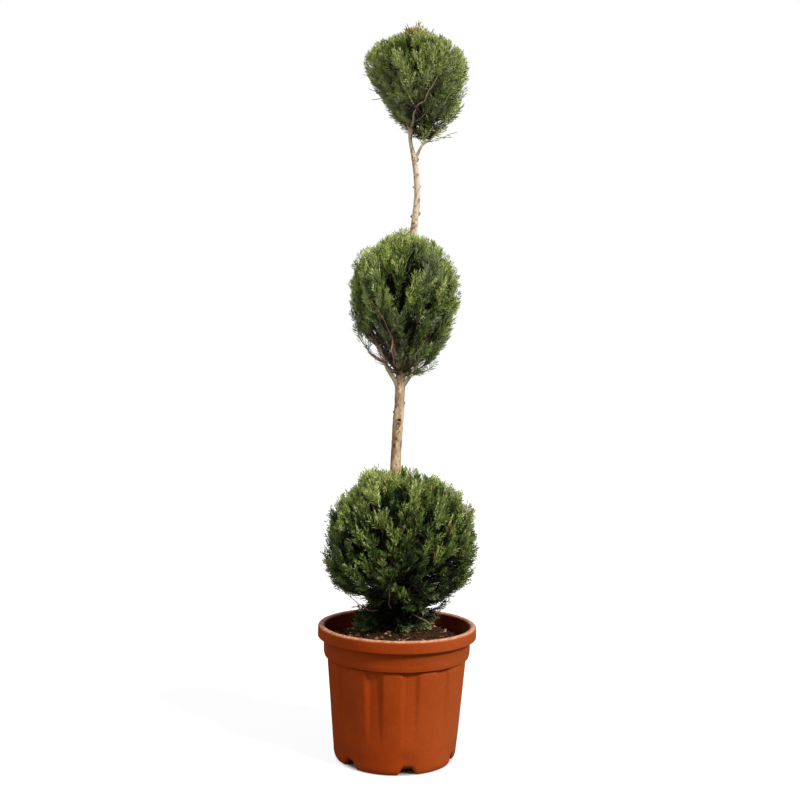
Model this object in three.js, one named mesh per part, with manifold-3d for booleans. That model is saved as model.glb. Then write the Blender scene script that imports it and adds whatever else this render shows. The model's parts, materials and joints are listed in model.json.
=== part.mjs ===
// A potted conifer topiary: one clear-stemmed trunk that carries three clipped balls of
// foliage and stands in the compost of a fluted plastic pot.
// Millimetres, +Z up, origin on the ground under the middle of the pot, front towards -Y.

import * as THREE from "three";
import { mergeVertices } from "three/addons/utils/BufferGeometryUtils.js";
import Module from "manifold-3d";

// Pot, sized from its rim
const RIM_RADIUS = 175;
const POT_HEIGHT = 291;
const LIP_HEIGHT = 26.5;
const LIP_WIDTH = 11.5;
const LIP_ROUND = 3;
const BAND_RADIUS = 162;
const BAND_HEIGHT = 40;
const BODY_TOP_RADIUS = 153.5;
const FOOT_RADIUS = 135.5;
const FOOT_ROUND = 20;
const STAND_RADIUS = 126;
const STAND_WIDTH = 8;
const FLOOR_HEIGHT = 11;
const WALL = 4;
const FLUTE_COUNT = 12;
const FLUTE_DEPTH = 6;
const FLUTE_END_HEIGHT = 45;
const FLUTE_PHASE = -3;
const FLUTE_COLUMNS = [-9.5, 0, 9.5, 12.5, 17.5]; // degrees from a panel's middle
const FIRST_GROOVE_COLUMN = 3;
const NOTCH_COUNT = 6;
const NOTCH_FOOT = 40;
const NOTCH_TOP = 20;
const NOTCH_HEIGHT = 9;

// Compost
const SOIL_HEIGHT = 281;
const SOIL_EDGE_DROP = 31;
const SOIL_BULGE = 5;
const SOIL_FLAT_RADIUS = 40;
const SOIL_CLEARANCE = 0.5;
const SOIL_SIDES = 24;

// Clearances between neighbouring pieces
const SEAT_GAP = 0.3;
const LIMB_CLEARANCE = 0.6;
const MASS_GAP = 0.6;

// Trunk stations: x, y, height and radius, from the ground to the fork in the top ball
const TRUNK_STATIONS = [
  [-12, 0, SOIL_HEIGHT + SEAT_GAP, 14],
  [-13, 0, 440, 13],
  [-10.4, 0, 640, 11.9],
  [-4, 0, 800, 10.9],
  [-1, 4, 900, 10],
  [10, 4, 1040, 9],
  [19.7, 0, 1162, 8],
  [25.6, 0, 1248, 6.5],
  [17.8, 0, 1318, 6],
  [8.6, 0, 1360, 4.2],
  [8.8, 0, 1386, 5.6],
];
const TRUNK_SIDES = 8;
const TRUNK_RINGS = 22;
const ROOT_FLARE = 11;
const ROOT_FLARE_HEIGHT = 22;

// Pruning stubs left on the trunk: height, direction in degrees from +X, radius and length
const STUBS = [
  { height: 746, azimuth: 215, radius: 4, length: 16 },
  { height: 732, azimuth: 285, radius: 4.5, length: 15 },
  { height: 782, azimuth: 350, radius: 3, length: 15 },
  { height: 1194, azimuth: 345, radius: 3.2, length: 14 },
  { height: 1189, azimuth: 190, radius: 3, length: 11 },
  { height: 1256, azimuth: 355, radius: 2.6, length: 10 },
  { height: 1254, azimuth: 185, radius: 2.6, length: 10 },
  { height: 1316, azimuth: 340, radius: 3.8, length: 11 },
];
const STUB_RISE = 0.7;

// Clipped balls: an egg of that radius, rising and falling so far from its widest height. Its
// underside is round at a power of 2, fuller above that and more of a cone below it. The
// foliage goes on down to the foot, no narrower than the skirt, and fans out from the fork.
const BALLS = {
  bottom: {
    x: 4, middle: 470, radius: 168, up: 168, down: 135, under: 2.6, foot: 186, skirt: 80, lean: 0,
    fork: 380, shoots: 150,
  },
  mid: {
    x: 1, middle: 1030, radius: 119, up: 133, down: 190, under: 2, foot: 190, skirt: 20, lean: 0,
    fork: 850, shoots: 112,
  },
  top: {
    x: 16, middle: 1530, radius: 115, up: 84, down: 168, under: 1.5, foot: 168, skirt: 20, lean: -0.17,
    fork: 1392, shoots: 86,
  },
};

// Masses of foliage. Azimuth in degrees from +X, height and reach as shares of the ball.
// Each hangs on one bough: its height on the trunk, its two radii, how far its elbow is
// moved off the straight line, and the share of the way to the mass's middle where it ends.
// An open mass has no core, and carries one in so many of the shoots that fall to it.
const MASSES = [
  { name: "bottom_front", ball: "bottom", azimuth: 270, height: 0, reach: 0.5, bough: { from: 302 } },
  { name: "bottom_right", ball: "bottom", azimuth: 342, height: 0, reach: 0.5, bough: { from: 311 } },
  { name: "bottom_back_right", ball: "bottom", azimuth: 54, height: 0, reach: 0.5, bough: { from: 300 } },
  { name: "bottom_back_left", ball: "bottom", azimuth: 126, height: 0, reach: 0.5, bough: { from: 313 } },
  { name: "bottom_left", ball: "bottom", azimuth: 198, height: 0, reach: 0.5, bough: { from: 305 } },
  {
    name: "mid_low_left", ball: "mid", azimuth: 196, height: -0.6, reach: 0.68, open: 1,
    bough: { from: 811, radii: [6.4, 3.2], share: 0.86 },
  },
  {
    name: "mid_left", ball: "mid", azimuth: 210, height: 0.04, reach: 0.68,
    bough: { from: 842, radii: [4.4, 2.2], elbow: [6, -6, 0], share: 0.78 },
  },
  {
    name: "mid_right", ball: "mid", azimuth: 338, height: -0.5, reach: 0.6,
    bough: { from: 809, radii: [5.2, 2.6], elbow: [4, 0, -8], share: 0.8 },
  },
  {
    name: "mid_upper_right", ball: "mid", azimuth: 328, height: 0.4, reach: 0.52,
    bough: { from: 985, radii: [4, 2.4], share: 0.6 },
  },
  {
    name: "mid_back_left", ball: "mid", azimuth: 128, height: -0.06, reach: 0.56,
    bough: { from: 850, radii: [5, 2.6], share: 0.72 },
  },
  {
    name: "mid_back_right", ball: "mid", azimuth: 48, height: -0.1, reach: 0.56,
    bough: { from: 868, radii: [5, 2.6], share: 0.7 },
  },
  {
    name: "top_left", ball: "top", azimuth: 212, height: -0.02, reach: 0.52,
    bough: { from: 1382, radii: [3.4, 2], elbow: [-2, 0, -6], share: 0.66 },
  },
  {
    name: "top_right", ball: "top", azimuth: 318, height: 0.02, reach: 0.52,
    bough: { from: 1384, radii: [3.8, 2.2], elbow: [-3, -4, -3], share: 0.76 },
  },
  {
    name: "top_low_right", ball: "top", azimuth: 344, height: -0.86, reach: 0.86, open: 2,
    bough: { from: 1318, radii: [3.4, 2], elbow: [-5, 0, 9], share: 0.64 },
  },
  {
    name: "top_back_left", ball: "top", azimuth: 128, height: -0.04, reach: 0.5,
    bough: { from: 1380, radii: [3.4, 2], elbow: [0, 2, -6], share: 0.64 },
  },
  {
    name: "top_back_right", ball: "top", azimuth: 50, height: -0.04, reach: 0.5,
    bough: { from: 1378, radii: [3.4, 2], elbow: [0, 2, -6], share: 0.64 },
  },
];
const PLAIN_BOUGH = { radii: [6, 3.4], elbow: [0, 0, -6], share: 0.42 };
const BOUGH_SIDES = 6;
const BOUGH_RINGS = 3;

// Foliage: twigs fan out from each stem to the clipped outline and end in flat sprays
const CORE_DEPTH = 24; // from the clipped outline in to the dense core
const CORE_SIDES = 15;
const CORE_ROWS = 7;
const CORE_RIPPLE = 4;
const STEM_TIP_RADIUS = 1.6;
const OPEN_STEM_REACH = 1.32;
const TWIG_RADII = [2.2, 1.3];
const SPRAY_LENGTH = 56;
const SPRAY_WIDTH = 0.36; // half width over length
const SPRAY_THICKNESS = 0.035; // half thickness over length
const SPRAY_ROLL = 2.4; // radians, over which a spray's flat side is turned
const ROOT_SUNK = 7;
const FAN_SHARE = 1.4; // how much a shoot follows the fan from the fork, against straight out
const LOWEST_TILT = -0.45;
const GOLDEN_ANGLE = Math.PI * (3 - Math.sqrt(5));
const SEED = 7;

// Where a spray finds no room it is tried again turned on edge, and then cut shorter
const SPRAY_TRIES = [
  { share: 1, turn: 0 },
  { share: 1, turn: Math.PI / 2 },
  { share: 0.8, turn: 0 },
  { share: 0.8, turn: Math.PI / 2 },
];

// A toothed spray seen flat: along and across, as shares of its length and half width
const SPRAY_OUTLINE = [
  [0, 0],
  [0.42, 0.95],
  [0.54, 0.28],
  [0.82, 0.56],
  [1, 0],
  [0.66, -0.26],
  [0.62, -0.95],
];
const SPRAY_RIDGE = 0.5;

const MATERIALS = {
  pot: new THREE.MeshStandardMaterial({ color: 0xb5562b, roughness: 0.55, metalness: 0 }),
  soil: new THREE.MeshStandardMaterial({ color: 0x2b1d14, roughness: 0.95, metalness: 0 }),
  bark: new THREE.MeshStandardMaterial({ color: 0xc2ab8c, roughness: 0.85, metalness: 0 }),
  foliage: new THREE.MeshStandardMaterial({ color: 0x4a6a2a, roughness: 0.7, metalness: 0 }),
};

const UP = new THREE.Vector3(0, 0, 1);
const wasm = await Module();
wasm.setup();

// Solids and geometry

function solidOf(geometry) {
  const bare = new THREE.BufferGeometry();
  bare.setAttribute("position", geometry.getAttribute("position"));
  bare.setIndex(geometry.index);
  const merged = mergeVertices(bare, 1e-3);
  const solid = new wasm.Manifold(
    new wasm.Mesh({
      numProp: 3,
      vertProperties: merged.attributes.position.array,
      triVerts: new Uint32Array(merged.index.array),
    }),
  );
  return solid;
}

function geometryOf(solid) {
  const mesh = solid.getMesh();
  const geometry = new THREE.BufferGeometry();
  geometry.setAttribute("position", new THREE.BufferAttribute(mesh.vertProperties, 3));
  geometry.setIndex(new THREE.BufferAttribute(mesh.triVerts, 1));
  geometry.computeVertexNormals();
  return geometry;
}

// The largest body of a solid, without loose scraps or sealed hollows
function mainBody(solid) {
  return solid.decompose().reduce((best, body) => (body.volume() > best.volume() ? body : best));
}

function join(solids) {
  return solids.reduce((whole, solid) => whole.add(solid));
}

// Vertices of a geometry, each moved by a function of its own place
function moved(geometry, place) {
  const position = geometry.getAttribute("position");
  const point = new THREE.Vector3();
  for (let i = 0; i < position.count; i++) {
    point.fromBufferAttribute(position, i);
    place(point, i);
    position.setXYZ(i, point.x, point.y, point.z);
  }
  return geometry;
}

function seeded(seed) {
  let state = seed;
  return () => {
    state = (state + 0x6d2b79f5) | 0;
    let mixed = Math.imul(state ^ (state >>> 15), 1 | state);
    mixed = (mixed + Math.imul(mixed ^ (mixed >>> 7), 61 | mixed)) ^ mixed;
    return ((mixed ^ (mixed >>> 14)) >>> 0) / 4294967296;
  };
}

// Pot

function potProfile() {
  const lipUnder = POT_HEIGHT - LIP_HEIGHT;
  const bandUnder = lipUnder - BAND_HEIGHT;
  const standInner = STAND_RADIUS - STAND_WIDTH;
  const bodyRadius = (height) =>
    THREE.MathUtils.mapLinear(height, FOOT_ROUND, bandUnder, FOOT_RADIUS, BODY_TOP_RADIUS);
  return [
    [0, FLOOR_HEIGHT],
    [standInner, FLOOR_HEIGHT],
    [standInner + 1, 0],
    [STAND_RADIUS, 0],
    [FOOT_RADIUS - 2.5, FOOT_ROUND * 0.4],
    [FOOT_RADIUS, FOOT_ROUND],
    [bodyRadius(FLUTE_END_HEIGHT), FLUTE_END_HEIGHT],
    [BODY_TOP_RADIUS, bandUnder - 0.5],
    [BAND_RADIUS - 4, bandUnder],
    [BAND_RADIUS - 1, bandUnder + 7],
    [BAND_RADIUS, lipUnder],
    [RIM_RADIUS - LIP_ROUND, lipUnder],
    [RIM_RADIUS, lipUnder + LIP_ROUND],
    [RIM_RADIUS, POT_HEIGHT - 2 * LIP_ROUND],
    [RIM_RADIUS - LIP_ROUND, POT_HEIGHT - 0.5],
    [RIM_RADIUS - LIP_WIDTH / 2, POT_HEIGHT],
    [RIM_RADIUS - LIP_WIDTH, POT_HEIGHT - LIP_ROUND],
    ...potInside(),
    [0, FLOOR_HEIGHT + WALL],
  ];
}

// The inner wall from below the lip down to the floor
function potInside() {
  const bandUnder = POT_HEIGHT - LIP_HEIGHT - BAND_HEIGHT;
  return [
    [BAND_RADIUS - WALL, bandUnder + 8],
    [BODY_TOP_RADIUS - FLUTE_DEPTH - WALL, bandUnder],
    [FOOT_RADIUS - WALL - 2, FLOOR_HEIGHT + WALL],
  ];
}

function turned(profile, sides) {
  const points = profile.map(([radius, height]) => new THREE.Vector2(radius, height));
  return new THREE.LatheGeometry(points, sides).rotateX(Math.PI / 2);
}

// Each row of the turned pot is dealt out to the flutes' columns. Rows on the outside of
// the body, between the foot and the band, sink in at the grooves, deepest under the band.
function fluted(geometry, profile) {
  const columns = FLUTE_COLUMNS.length;
  const bandUnder = POT_HEIGHT - LIP_HEIGHT - BAND_HEIGHT;
  return moved(geometry, (point, i) => {
    const row = i % profile.length;
    const column = Math.floor(i / profile.length);
    const offset = FLUTE_COLUMNS[column % columns];
    const angle = Math.floor(column / columns) * (360 / FLUTE_COUNT) + offset + FLUTE_PHASE;
    const [radius, height] = profile[row];
    const isBody = radius > BODY_TOP_RADIUS - 2 * FLUTE_DEPTH - WALL && height < bandUnder;
    const isGroove = column % columns >= FIRST_GROOVE_COLUMN;
    const share = THREE.MathUtils.clamp((height - FLUTE_END_HEIGHT) / (bandUnder - FLUTE_END_HEIGHT), 0, 1);
    const sunk = isBody && isGroove ? radius - FLUTE_DEPTH * share : radius;
    const turn = THREE.MathUtils.degToRad(angle);
    point.set(sunk * Math.sin(turn), -sunk * Math.cos(turn), height);
  });
}

// One drainage notch: a prism cut through the foot, wider at the ground
function notch(index) {
  const arch = new THREE.Shape([
    new THREE.Vector2(-NOTCH_FOOT / 2, -1),
    new THREE.Vector2(NOTCH_FOOT / 2, -1),
    new THREE.Vector2(NOTCH_TOP / 2, NOTCH_HEIGHT),
    new THREE.Vector2(-NOTCH_TOP / 2, NOTCH_HEIGHT),
  ]);
  const depth = 3 * STAND_WIDTH;
  const grooveMiddle = FLUTE_PHASE + 180 / FLUTE_COUNT;
  const turn = THREE.MathUtils.degToRad(grooveMiddle + (index * 360) / NOTCH_COUNT);
  const prism = new THREE.ExtrudeGeometry(arch, { depth, bevelEnabled: false });
  prism.rotateX(Math.PI / 2).translate(0, -(STAND_RADIUS - STAND_WIDTH - 2), 0).rotateZ(turn);
  return solidOf(prism);
}

function makePot() {
  const profile = potProfile();
  const shell = solidOf(fluted(turned(profile, FLUTE_COUNT * FLUTE_COLUMNS.length), profile));
  const notches = Array.from({ length: NOTCH_COUNT }, (_, i) => notch(i));
  return shell.subtract(join(notches));
}

// Compost, fitted inside the wall and mounded up to a flat round the trunk
function makeSoil() {
  const wall = potInside().map(([radius, height]) => [radius - SOIL_CLEARANCE, height + SOIL_CLEARANCE]);
  const edge = SOIL_HEIGHT - SOIL_EDGE_DROP;
  const edgeRadius = wall[0][0] - SOIL_CLEARANCE;
  return solidOf(
    turned(
      [
        [0, wall[2][1]],
        wall[2],
        wall[1],
        wall[0],
        [edgeRadius, edge],
        [(edgeRadius + SOIL_FLAT_RADIUS) / 2, (edge + SOIL_HEIGHT) / 2 + SOIL_BULGE],
        [SOIL_FLAT_RADIUS, SOIL_HEIGHT],
        [0, SOIL_HEIGHT],
      ],
      SOIL_SIDES,
    ),
  );
}

// Limbs

// A tapering limb: a cylinder whose rings are carried along a smooth curve through the
// stations. Level rings suit an upright trunk, and square ones a bough.
function limb(stations, { sides, rings, grow = 0, level = false, flare = () => 0 }) {
  const curve = new THREE.CatmullRomCurve3(stations.map(([x, y, z]) => new THREE.Vector3(x, y, z)));
  const radiusAt = (share) => {
    const place = share * (stations.length - 1);
    const below = Math.min(Math.floor(place), stations.length - 2);
    return THREE.MathUtils.lerp(stations[below][3], stations[below + 1][3], place - below);
  };
  const span = curve.getPoint(1).sub(curve.getPoint(0)).normalize();
  const reference = Math.abs(span.x) < 0.8 ? new THREE.Vector3(1, 0, 0) : new THREE.Vector3(0, 1, 0);
  const cylinder = new THREE.CylinderGeometry(1, 1, 1, sides, rings);
  moved(cylinder, (point) => {
    const [aside, share, ahead] = [point.x, THREE.MathUtils.clamp(point.y + 0.5, 0, 1), point.z];
    const along = level ? UP : curve.getTangent(share);
    const binormal = new THREE.Vector3().crossVectors(reference, along).normalize();
    const normal = new THREE.Vector3().crossVectors(along, binormal);
    point.copy(curve.getPoint(share));
    const radius = radiusAt(share) + flare(point.z) + grow;
    point.addScaledVector(normal, aside * radius).addScaledVector(binormal, ahead * radius);
    if (share === 0) point.addScaledVector(along, -grow);
    if (share === 1) point.addScaledVector(along, grow);
  });
  return solidOf(cylinder);
}

function trunkPointAt(height) {
  const above = TRUNK_STATIONS.findIndex((station) => station[2] >= height);
  const [low, high] = [TRUNK_STATIONS[Math.max(above - 1, 0)], TRUNK_STATIONS[Math.max(above, 1)]];
  const share = (height - low[2]) / (high[2] - low[2]);
  return new THREE.Vector3(...low.slice(0, 3)).lerp(new THREE.Vector3(...high.slice(0, 3)), share);
}

const rootFlare = (height) => ROOT_FLARE * Math.exp(-(height - SOIL_HEIGHT) / ROOT_FLARE_HEIGHT);

function trunkStem(grow) {
  const shape = { sides: TRUNK_SIDES, rings: TRUNK_RINGS, level: true, flare: rootFlare };
  return limb(TRUNK_STATIONS, { ...shape, grow });
}

function stub({ height, azimuth, radius, length }, grow) {
  const start = trunkPointAt(height);
  const turn = THREE.MathUtils.degToRad(azimuth);
  const reach = new THREE.Vector3(Math.cos(turn), Math.sin(turn), STUB_RISE).normalize();
  const end = start.clone().addScaledVector(reach, length);
  const stations = [
    [...start.toArray(), radius * 1.3],
    [...end.toArray(), radius],
  ];
  return limb(stations, { sides: 6, rings: 1, grow });
}

function makeTrunk(grow = 0) {
  return mainBody(join([trunkStem(grow), ...STUBS.map((one) => stub(one, grow))]));
}

// Balls and their masses

const ballAxis = (ball, height) => ball.x + (height - ball.middle) * (height < ball.middle ? ball.lean : 0);

// A point of a ball at that height share (1 top, 0 widest, -1 foot), azimuth and reach
function ballPoint(ball, azimuth, height, reach) {
  const rise = height * (height > 0 ? ball.up : ball.foot);
  const share = Math.min(Math.abs(rise) / (height > 0 ? ball.up : ball.down), 1);
  const power = height > 0 ? 2 : ball.under;
  const radius = Math.max(ball.radius * (1 - share ** power) ** (1 / power), ball.skirt) * reach;
  const z = ball.middle + rise;
  return new THREE.Vector3(ballAxis(ball, z) + radius * Math.cos(azimuth), radius * Math.sin(azimuth), z);
}

const massSite = ({ ball, azimuth, height, reach }) =>
  ballPoint(BALLS[ball], THREE.MathUtils.degToRad(azimuth), height, reach);

// The planes that part a mass from the others of its ball, each facing into the mass
function massPlanes(mass) {
  const own = massSite(mass);
  return MASSES.filter((other) => other.ball === mass.ball && other !== mass).map((other) => {
    const away = massSite(other);
    const normal = own.clone().sub(away).normalize();
    const middle = own.clone().add(away).multiplyScalar(0.5);
    return new THREE.Plane(normal, -(normal.dot(middle) + MASS_GAP / 2));
  });
}

const insidePlanes = (planes, point) => planes.every((plane) => plane.distanceToPoint(point) > 0);

// The dense middle of a whole ball, short of the clipped outline by the core's depth and
// gently rippled where one tuft meets the next
function ballCore(ball) {
  const low = ball.middle - ball.foot + CORE_DEPTH / 2;
  const high = ball.middle + ball.up - CORE_DEPTH;
  const rows = Array.from({ length: CORE_ROWS }, (_, i) => -Math.cos((Math.PI * (i + 0.5)) / CORE_ROWS));
  const profile = [
    [0, low],
    ...rows.map((share) => {
      const { x, z } = ballPoint({ ...ball, x: 0, lean: 0 }, 0, share, 1);
      return [Math.max(x - CORE_DEPTH, CORE_DEPTH / 2), THREE.MathUtils.clamp(z, low, high)];
    }),
    [0, high],
  ];
  const turning = turned(profile, CORE_SIDES);
  moved(turning, (point) => {
    const angle = Math.atan2(point.y, point.x);
    const swell = CORE_RIPPLE * Math.sin(5 * angle + ball.x) * Math.sin(point.z / CORE_DEPTH);
    const radius = Math.hypot(point.x, point.y);
    const share = radius > 0 ? 1 + swell / radius : 1;
    point.set(ballAxis(ball, point.z) + point.x * share, point.y * share, point.z);
  });
  return solidOf(turning);
}

// Boughs

function boughStations(mass) {
  const { from, radii, elbow, share } = { ...PLAIN_BOUGH, ...mass.bough };
  const start = trunkPointAt(from);
  const end = start.clone().lerp(massSite(mass), share);
  const middle = start.clone().lerp(end, 0.5).add(new THREE.Vector3(...elbow));
  return [
    [...start.toArray(), radii[0]],
    [...middle.toArray(), (radii[0] + radii[1]) / 2],
    [...end.toArray(), radii[1]],
  ];
}

const boughLimb = (mass, grow = 0) =>
  limb(boughStations(mass), { sides: BOUGH_SIDES, rings: BOUGH_RINGS, grow });

// Every bough starts in the trunk and is cut back to stand just clear of it, and of the
// boughs before it where two share a fork.
function makeBoughs() {
  const made = [];
  let taken = makeTrunk(SEAT_GAP);
  for (const mass of MASSES) {
    made.push(mainBody(boughLimb(mass).subtract(taken)));
    taken = taken.add(boughLimb(mass, SEAT_GAP));
  }
  return made;
}

// Foliage

// One flat spray: a toothed outline with a ridge along both of its faces
function spray(root, along, across, length) {
  const normal = new THREE.Vector3().crossVectors(along, across);
  const at = (forward, aside, lift) =>
    root
      .clone()
      .addScaledVector(along, forward * length)
      .addScaledVector(across, aside * length * SPRAY_WIDTH)
      .addScaledVector(normal, lift * length * SPRAY_THICKNESS);
  const outline = SPRAY_OUTLINE.map(([forward, aside]) => at(forward, aside, 0));
  const ridges = [at(SPRAY_RIDGE, 0, 1), at(SPRAY_RIDGE, 0, -1)];
  const points = [...outline, ...ridges];
  const count = outline.length;
  const faces = outline.flatMap((_, i) => {
    const next = (i + 1) % count;
    return [next, i, count, i, next, count + 1];
  });
  const geometry = new THREE.BufferGeometry().setFromPoints(points).setIndex(faces);
  return { solid: solidOf(geometry), points };
}

// The stem that carries a mass on from its bough's tip to the mass's middle
function massStem(mass) {
  const stations = boughStations(mass);
  const [elbow, end] = stations.slice(1).map((station) => new THREE.Vector3(...station.slice(0, 3)));
  const along = end.clone().sub(elbow).normalize();
  const start = end.clone().addScaledVector(along, SEAT_GAP);
  const reach = end.distanceTo(massSite(mass)) * (mass.open ? OPEN_STEM_REACH : 1);
  const tip = start.clone().add(massSite(mass).sub(end).setLength(reach));
  const middle = start.clone().addScaledVector(along, reach * 0.4).lerp(start.clone().lerp(tip, 0.4), 0.5);
  const radius = stations[2][3];
  const path = [
    [...start.toArray(), radius],
    [...middle.toArray(), (radius + STEM_TIP_RADIUS) / 2],
    [...tip.toArray(), STEM_TIP_RADIUS],
  ];
  return { start, tip, solid: limb(path, { sides: BOUGH_SIDES, rings: 3 }) };
}

// Shoots of one ball, dealt out evenly over its clipped outline by the golden angle. They
// point away from the ball and fan out from its fork.
function ballShoots(ball, random) {
  const fork = new THREE.Vector3(ballAxis(ball, ball.fork), 0, ball.fork);
  return Array.from({ length: ball.shoots }, (_, i) => {
    const height = 1 - (2 * (i + 0.5)) / ball.shoots;
    const azimuth = i * GOLDEN_ANGLE + 0.3 * (random() - 0.5);
    const tip = ballPoint(ball, azimuth, height, 1);
    const tilt = Math.max(height, LOWEST_TILT);
    const flat = Math.sqrt(1 - tilt * tilt);
    const outward = new THREE.Vector3(flat * Math.cos(azimuth), flat * Math.sin(azimuth), tilt);
    const along = tip.clone().sub(fork).setLength(FAN_SHARE).add(outward).normalize();
    const level = new THREE.Vector3().crossVectors(along, UP).normalize();
    const across = level.applyAxisAngle(along, SPRAY_ROLL * (random() - 0.5));
    return { tip, along, across, length: SPRAY_LENGTH * (0.9 + 0.2 * random()) };
  });
}

const shootRoot = ({ tip, along, length }, sunk) => tip.clone().addScaledVector(along, sunk - length);

// The twig of one shoot, from the mass's stem out to its spray, whose root it holds
function shootTwig(shoot, stem) {
  const end = shootRoot(shoot, ROOT_SUNK);
  const share = THREE.MathUtils.clamp((end.z - stem.start.z) / (2 * shoot.length), 0.1, 0.95);
  const start = stem.start.clone().lerp(stem.tip, share);
  const stations = [
    [...start.toArray(), TWIG_RADII[0]],
    [...end.toArray(), TWIG_RADII[1]],
  ];
  return limb(stations, { sides: 3, rings: 1 });
}

// A shoot with its spray turned or cut short until it keeps to its space, if it can
function fittedSpray(shoot, fits) {
  for (const { share, turn } of SPRAY_TRIES) {
    const length = shoot.length * share;
    const across = shoot.across.clone().applyAxisAngle(shoot.along, turn);
    const fitted = { ...shoot, across, length };
    const { solid, points } = spray(shootRoot(fitted, 0), shoot.along, across, length);
    if (fits(solid, points)) return { ...fitted, solid };
  }
  return null;
}

// One mass: its stem, the part of the ball's core that lies in its space, and every shoot
// that keeps to that space and off the limbs. A core holds a spray whose twig has no room.
function makeMass(mass, shoots, core, kept) {
  const planes = massPlanes(mass);
  const stem = massStem(mass);
  const pieces = [stem.solid];
  if (!mass.open) {
    const trim = (solid, plane) => solid.trimByPlane(plane.normal.toArray(), -plane.constant);
    pieces.push(mainBody(planes.reduce(trim, core).subtract(kept)));
  }
  let taken = kept;
  const isClear = (solid) => solid.intersect(taken).isEmpty();
  const fits = (solid, points) => points.every((point) => insidePlanes(planes, point)) && isClear(solid);
  const own = shoots.filter((shoot) => insidePlanes(planes, shoot.tip));
  for (const shoot of own.filter((_, i) => i % (mass.open ?? 1) === 0)) {
    const fitted = fittedSpray(shoot, fits);
    if (!fitted) continue;
    const twig = shootTwig(fitted, stem);
    const hasRoom = isClear(twig.subtract(stem.solid));
    if (mass.open && !hasRoom) continue;
    pieces.push(...(hasRoom ? [twig, fitted.solid] : [fitted.solid]));
    taken = taken.add(fitted.solid);
  }
  return mainBody(join(pieces));
}

// Assembly

const plant = new THREE.Group();

function place(name, solid, material) {
  const mesh = new THREE.Mesh(geometryOf(solid), material);
  mesh.name = name;
  plant.add(mesh);
}

place("pot", makePot(), MATERIALS.pot);
place("potting_soil", makeSoil(), MATERIALS.soil);
place("trunk", makeTrunk(), MATERIALS.bark);

makeBoughs().forEach((bough, i) => place(`bough_${MASSES[i].name}`, bough, MATERIALS.bark));

const random = seeded(SEED);
const limbs = [makeTrunk(LIMB_CLEARANCE), ...MASSES.map((mass) => boughLimb(mass, LIMB_CLEARANCE))];
const keptClear = join([...limbs, makeSoil(), makePot()]);
for (const [ballName, ball] of Object.entries(BALLS)) {
  const shoots = ballShoots(ball, random);
  const core = ballCore(ball);
  for (const mass of MASSES.filter((one) => one.ball === ballName)) {
    place(`foliage_${mass.name}`, makeMass(mass, shoots, core, keptClear), MATERIALS.foliage);
  }
}

export default plant;
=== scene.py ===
# A potted conifer topiary: three clipped balls of foliage on one clear-stemmed trunk, which
# stands in the compost of a fluted plastic pot. Sizes are in millimetres, from the ground up
# and with the front towards -Y. Each mesh is made in metres.

import json
import math
import bpy
import numpy as np
from mathutils import Matrix, Vector

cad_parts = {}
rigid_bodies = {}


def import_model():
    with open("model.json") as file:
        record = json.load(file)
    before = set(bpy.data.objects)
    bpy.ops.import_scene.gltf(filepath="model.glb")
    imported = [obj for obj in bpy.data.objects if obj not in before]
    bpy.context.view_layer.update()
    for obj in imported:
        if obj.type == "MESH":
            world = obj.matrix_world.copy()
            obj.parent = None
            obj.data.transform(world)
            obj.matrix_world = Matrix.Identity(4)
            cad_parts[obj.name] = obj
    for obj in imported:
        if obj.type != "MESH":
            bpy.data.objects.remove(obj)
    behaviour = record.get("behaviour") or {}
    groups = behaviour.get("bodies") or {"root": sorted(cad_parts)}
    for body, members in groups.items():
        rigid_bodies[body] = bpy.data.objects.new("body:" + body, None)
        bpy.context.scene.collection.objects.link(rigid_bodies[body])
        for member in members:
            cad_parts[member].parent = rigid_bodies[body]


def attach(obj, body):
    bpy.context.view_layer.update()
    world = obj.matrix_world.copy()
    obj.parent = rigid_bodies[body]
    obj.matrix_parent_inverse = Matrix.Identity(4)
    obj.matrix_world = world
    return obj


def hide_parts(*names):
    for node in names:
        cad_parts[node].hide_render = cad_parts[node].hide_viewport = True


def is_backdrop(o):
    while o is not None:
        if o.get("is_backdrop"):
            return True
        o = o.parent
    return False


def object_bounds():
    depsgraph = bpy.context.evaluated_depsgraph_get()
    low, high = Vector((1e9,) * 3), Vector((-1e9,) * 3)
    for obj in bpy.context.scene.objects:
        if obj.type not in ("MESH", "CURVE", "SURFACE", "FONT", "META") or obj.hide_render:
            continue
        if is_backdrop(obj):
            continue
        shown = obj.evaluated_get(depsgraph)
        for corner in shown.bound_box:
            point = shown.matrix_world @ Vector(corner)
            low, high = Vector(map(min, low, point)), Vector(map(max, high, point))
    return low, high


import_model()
solid_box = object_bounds()


# Pot
# A moulded nursery pot in terracotta-coloured plastic: a thick rolled lip over a plain band,
# twelve raised panels on a tapering body, and six drainage notches cut up into the foot. It
# stands free on the ring under its wall.
MILLIMETRE = 0.001
RIM_RADIUS = 175
POT_HEIGHT = 291
LIP_HEIGHT = 26.5
LIP_WIDTH = 15
LIP_ROUND = 6
LIP_LOWER_ROUND = 2.5
BAND_RADIUS = 162
BAND_HEIGHT = 41
# The band's profile: out from its radius and up from its underside
BAND_STEPS = ((-4.5, 0), (-3, 0.6), (-1.2, 7), (-0.6, 9.8), (0, 40.4), (0.6, BAND_HEIGHT))
BODY_TOP_RADIUS = 153.5
BODY_BULGE = 1.7
BODY_GAP = 0.5
BODY_ROWS = 44
FOOT_RADIUS = 135.5
FOOT_ROUND = 20
FOOT_ROWS = 9
STAND_RADIUS = 126
STAND_WIDTH = 8
POT_FLOOR = 11
POT_WALL = 4
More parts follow.
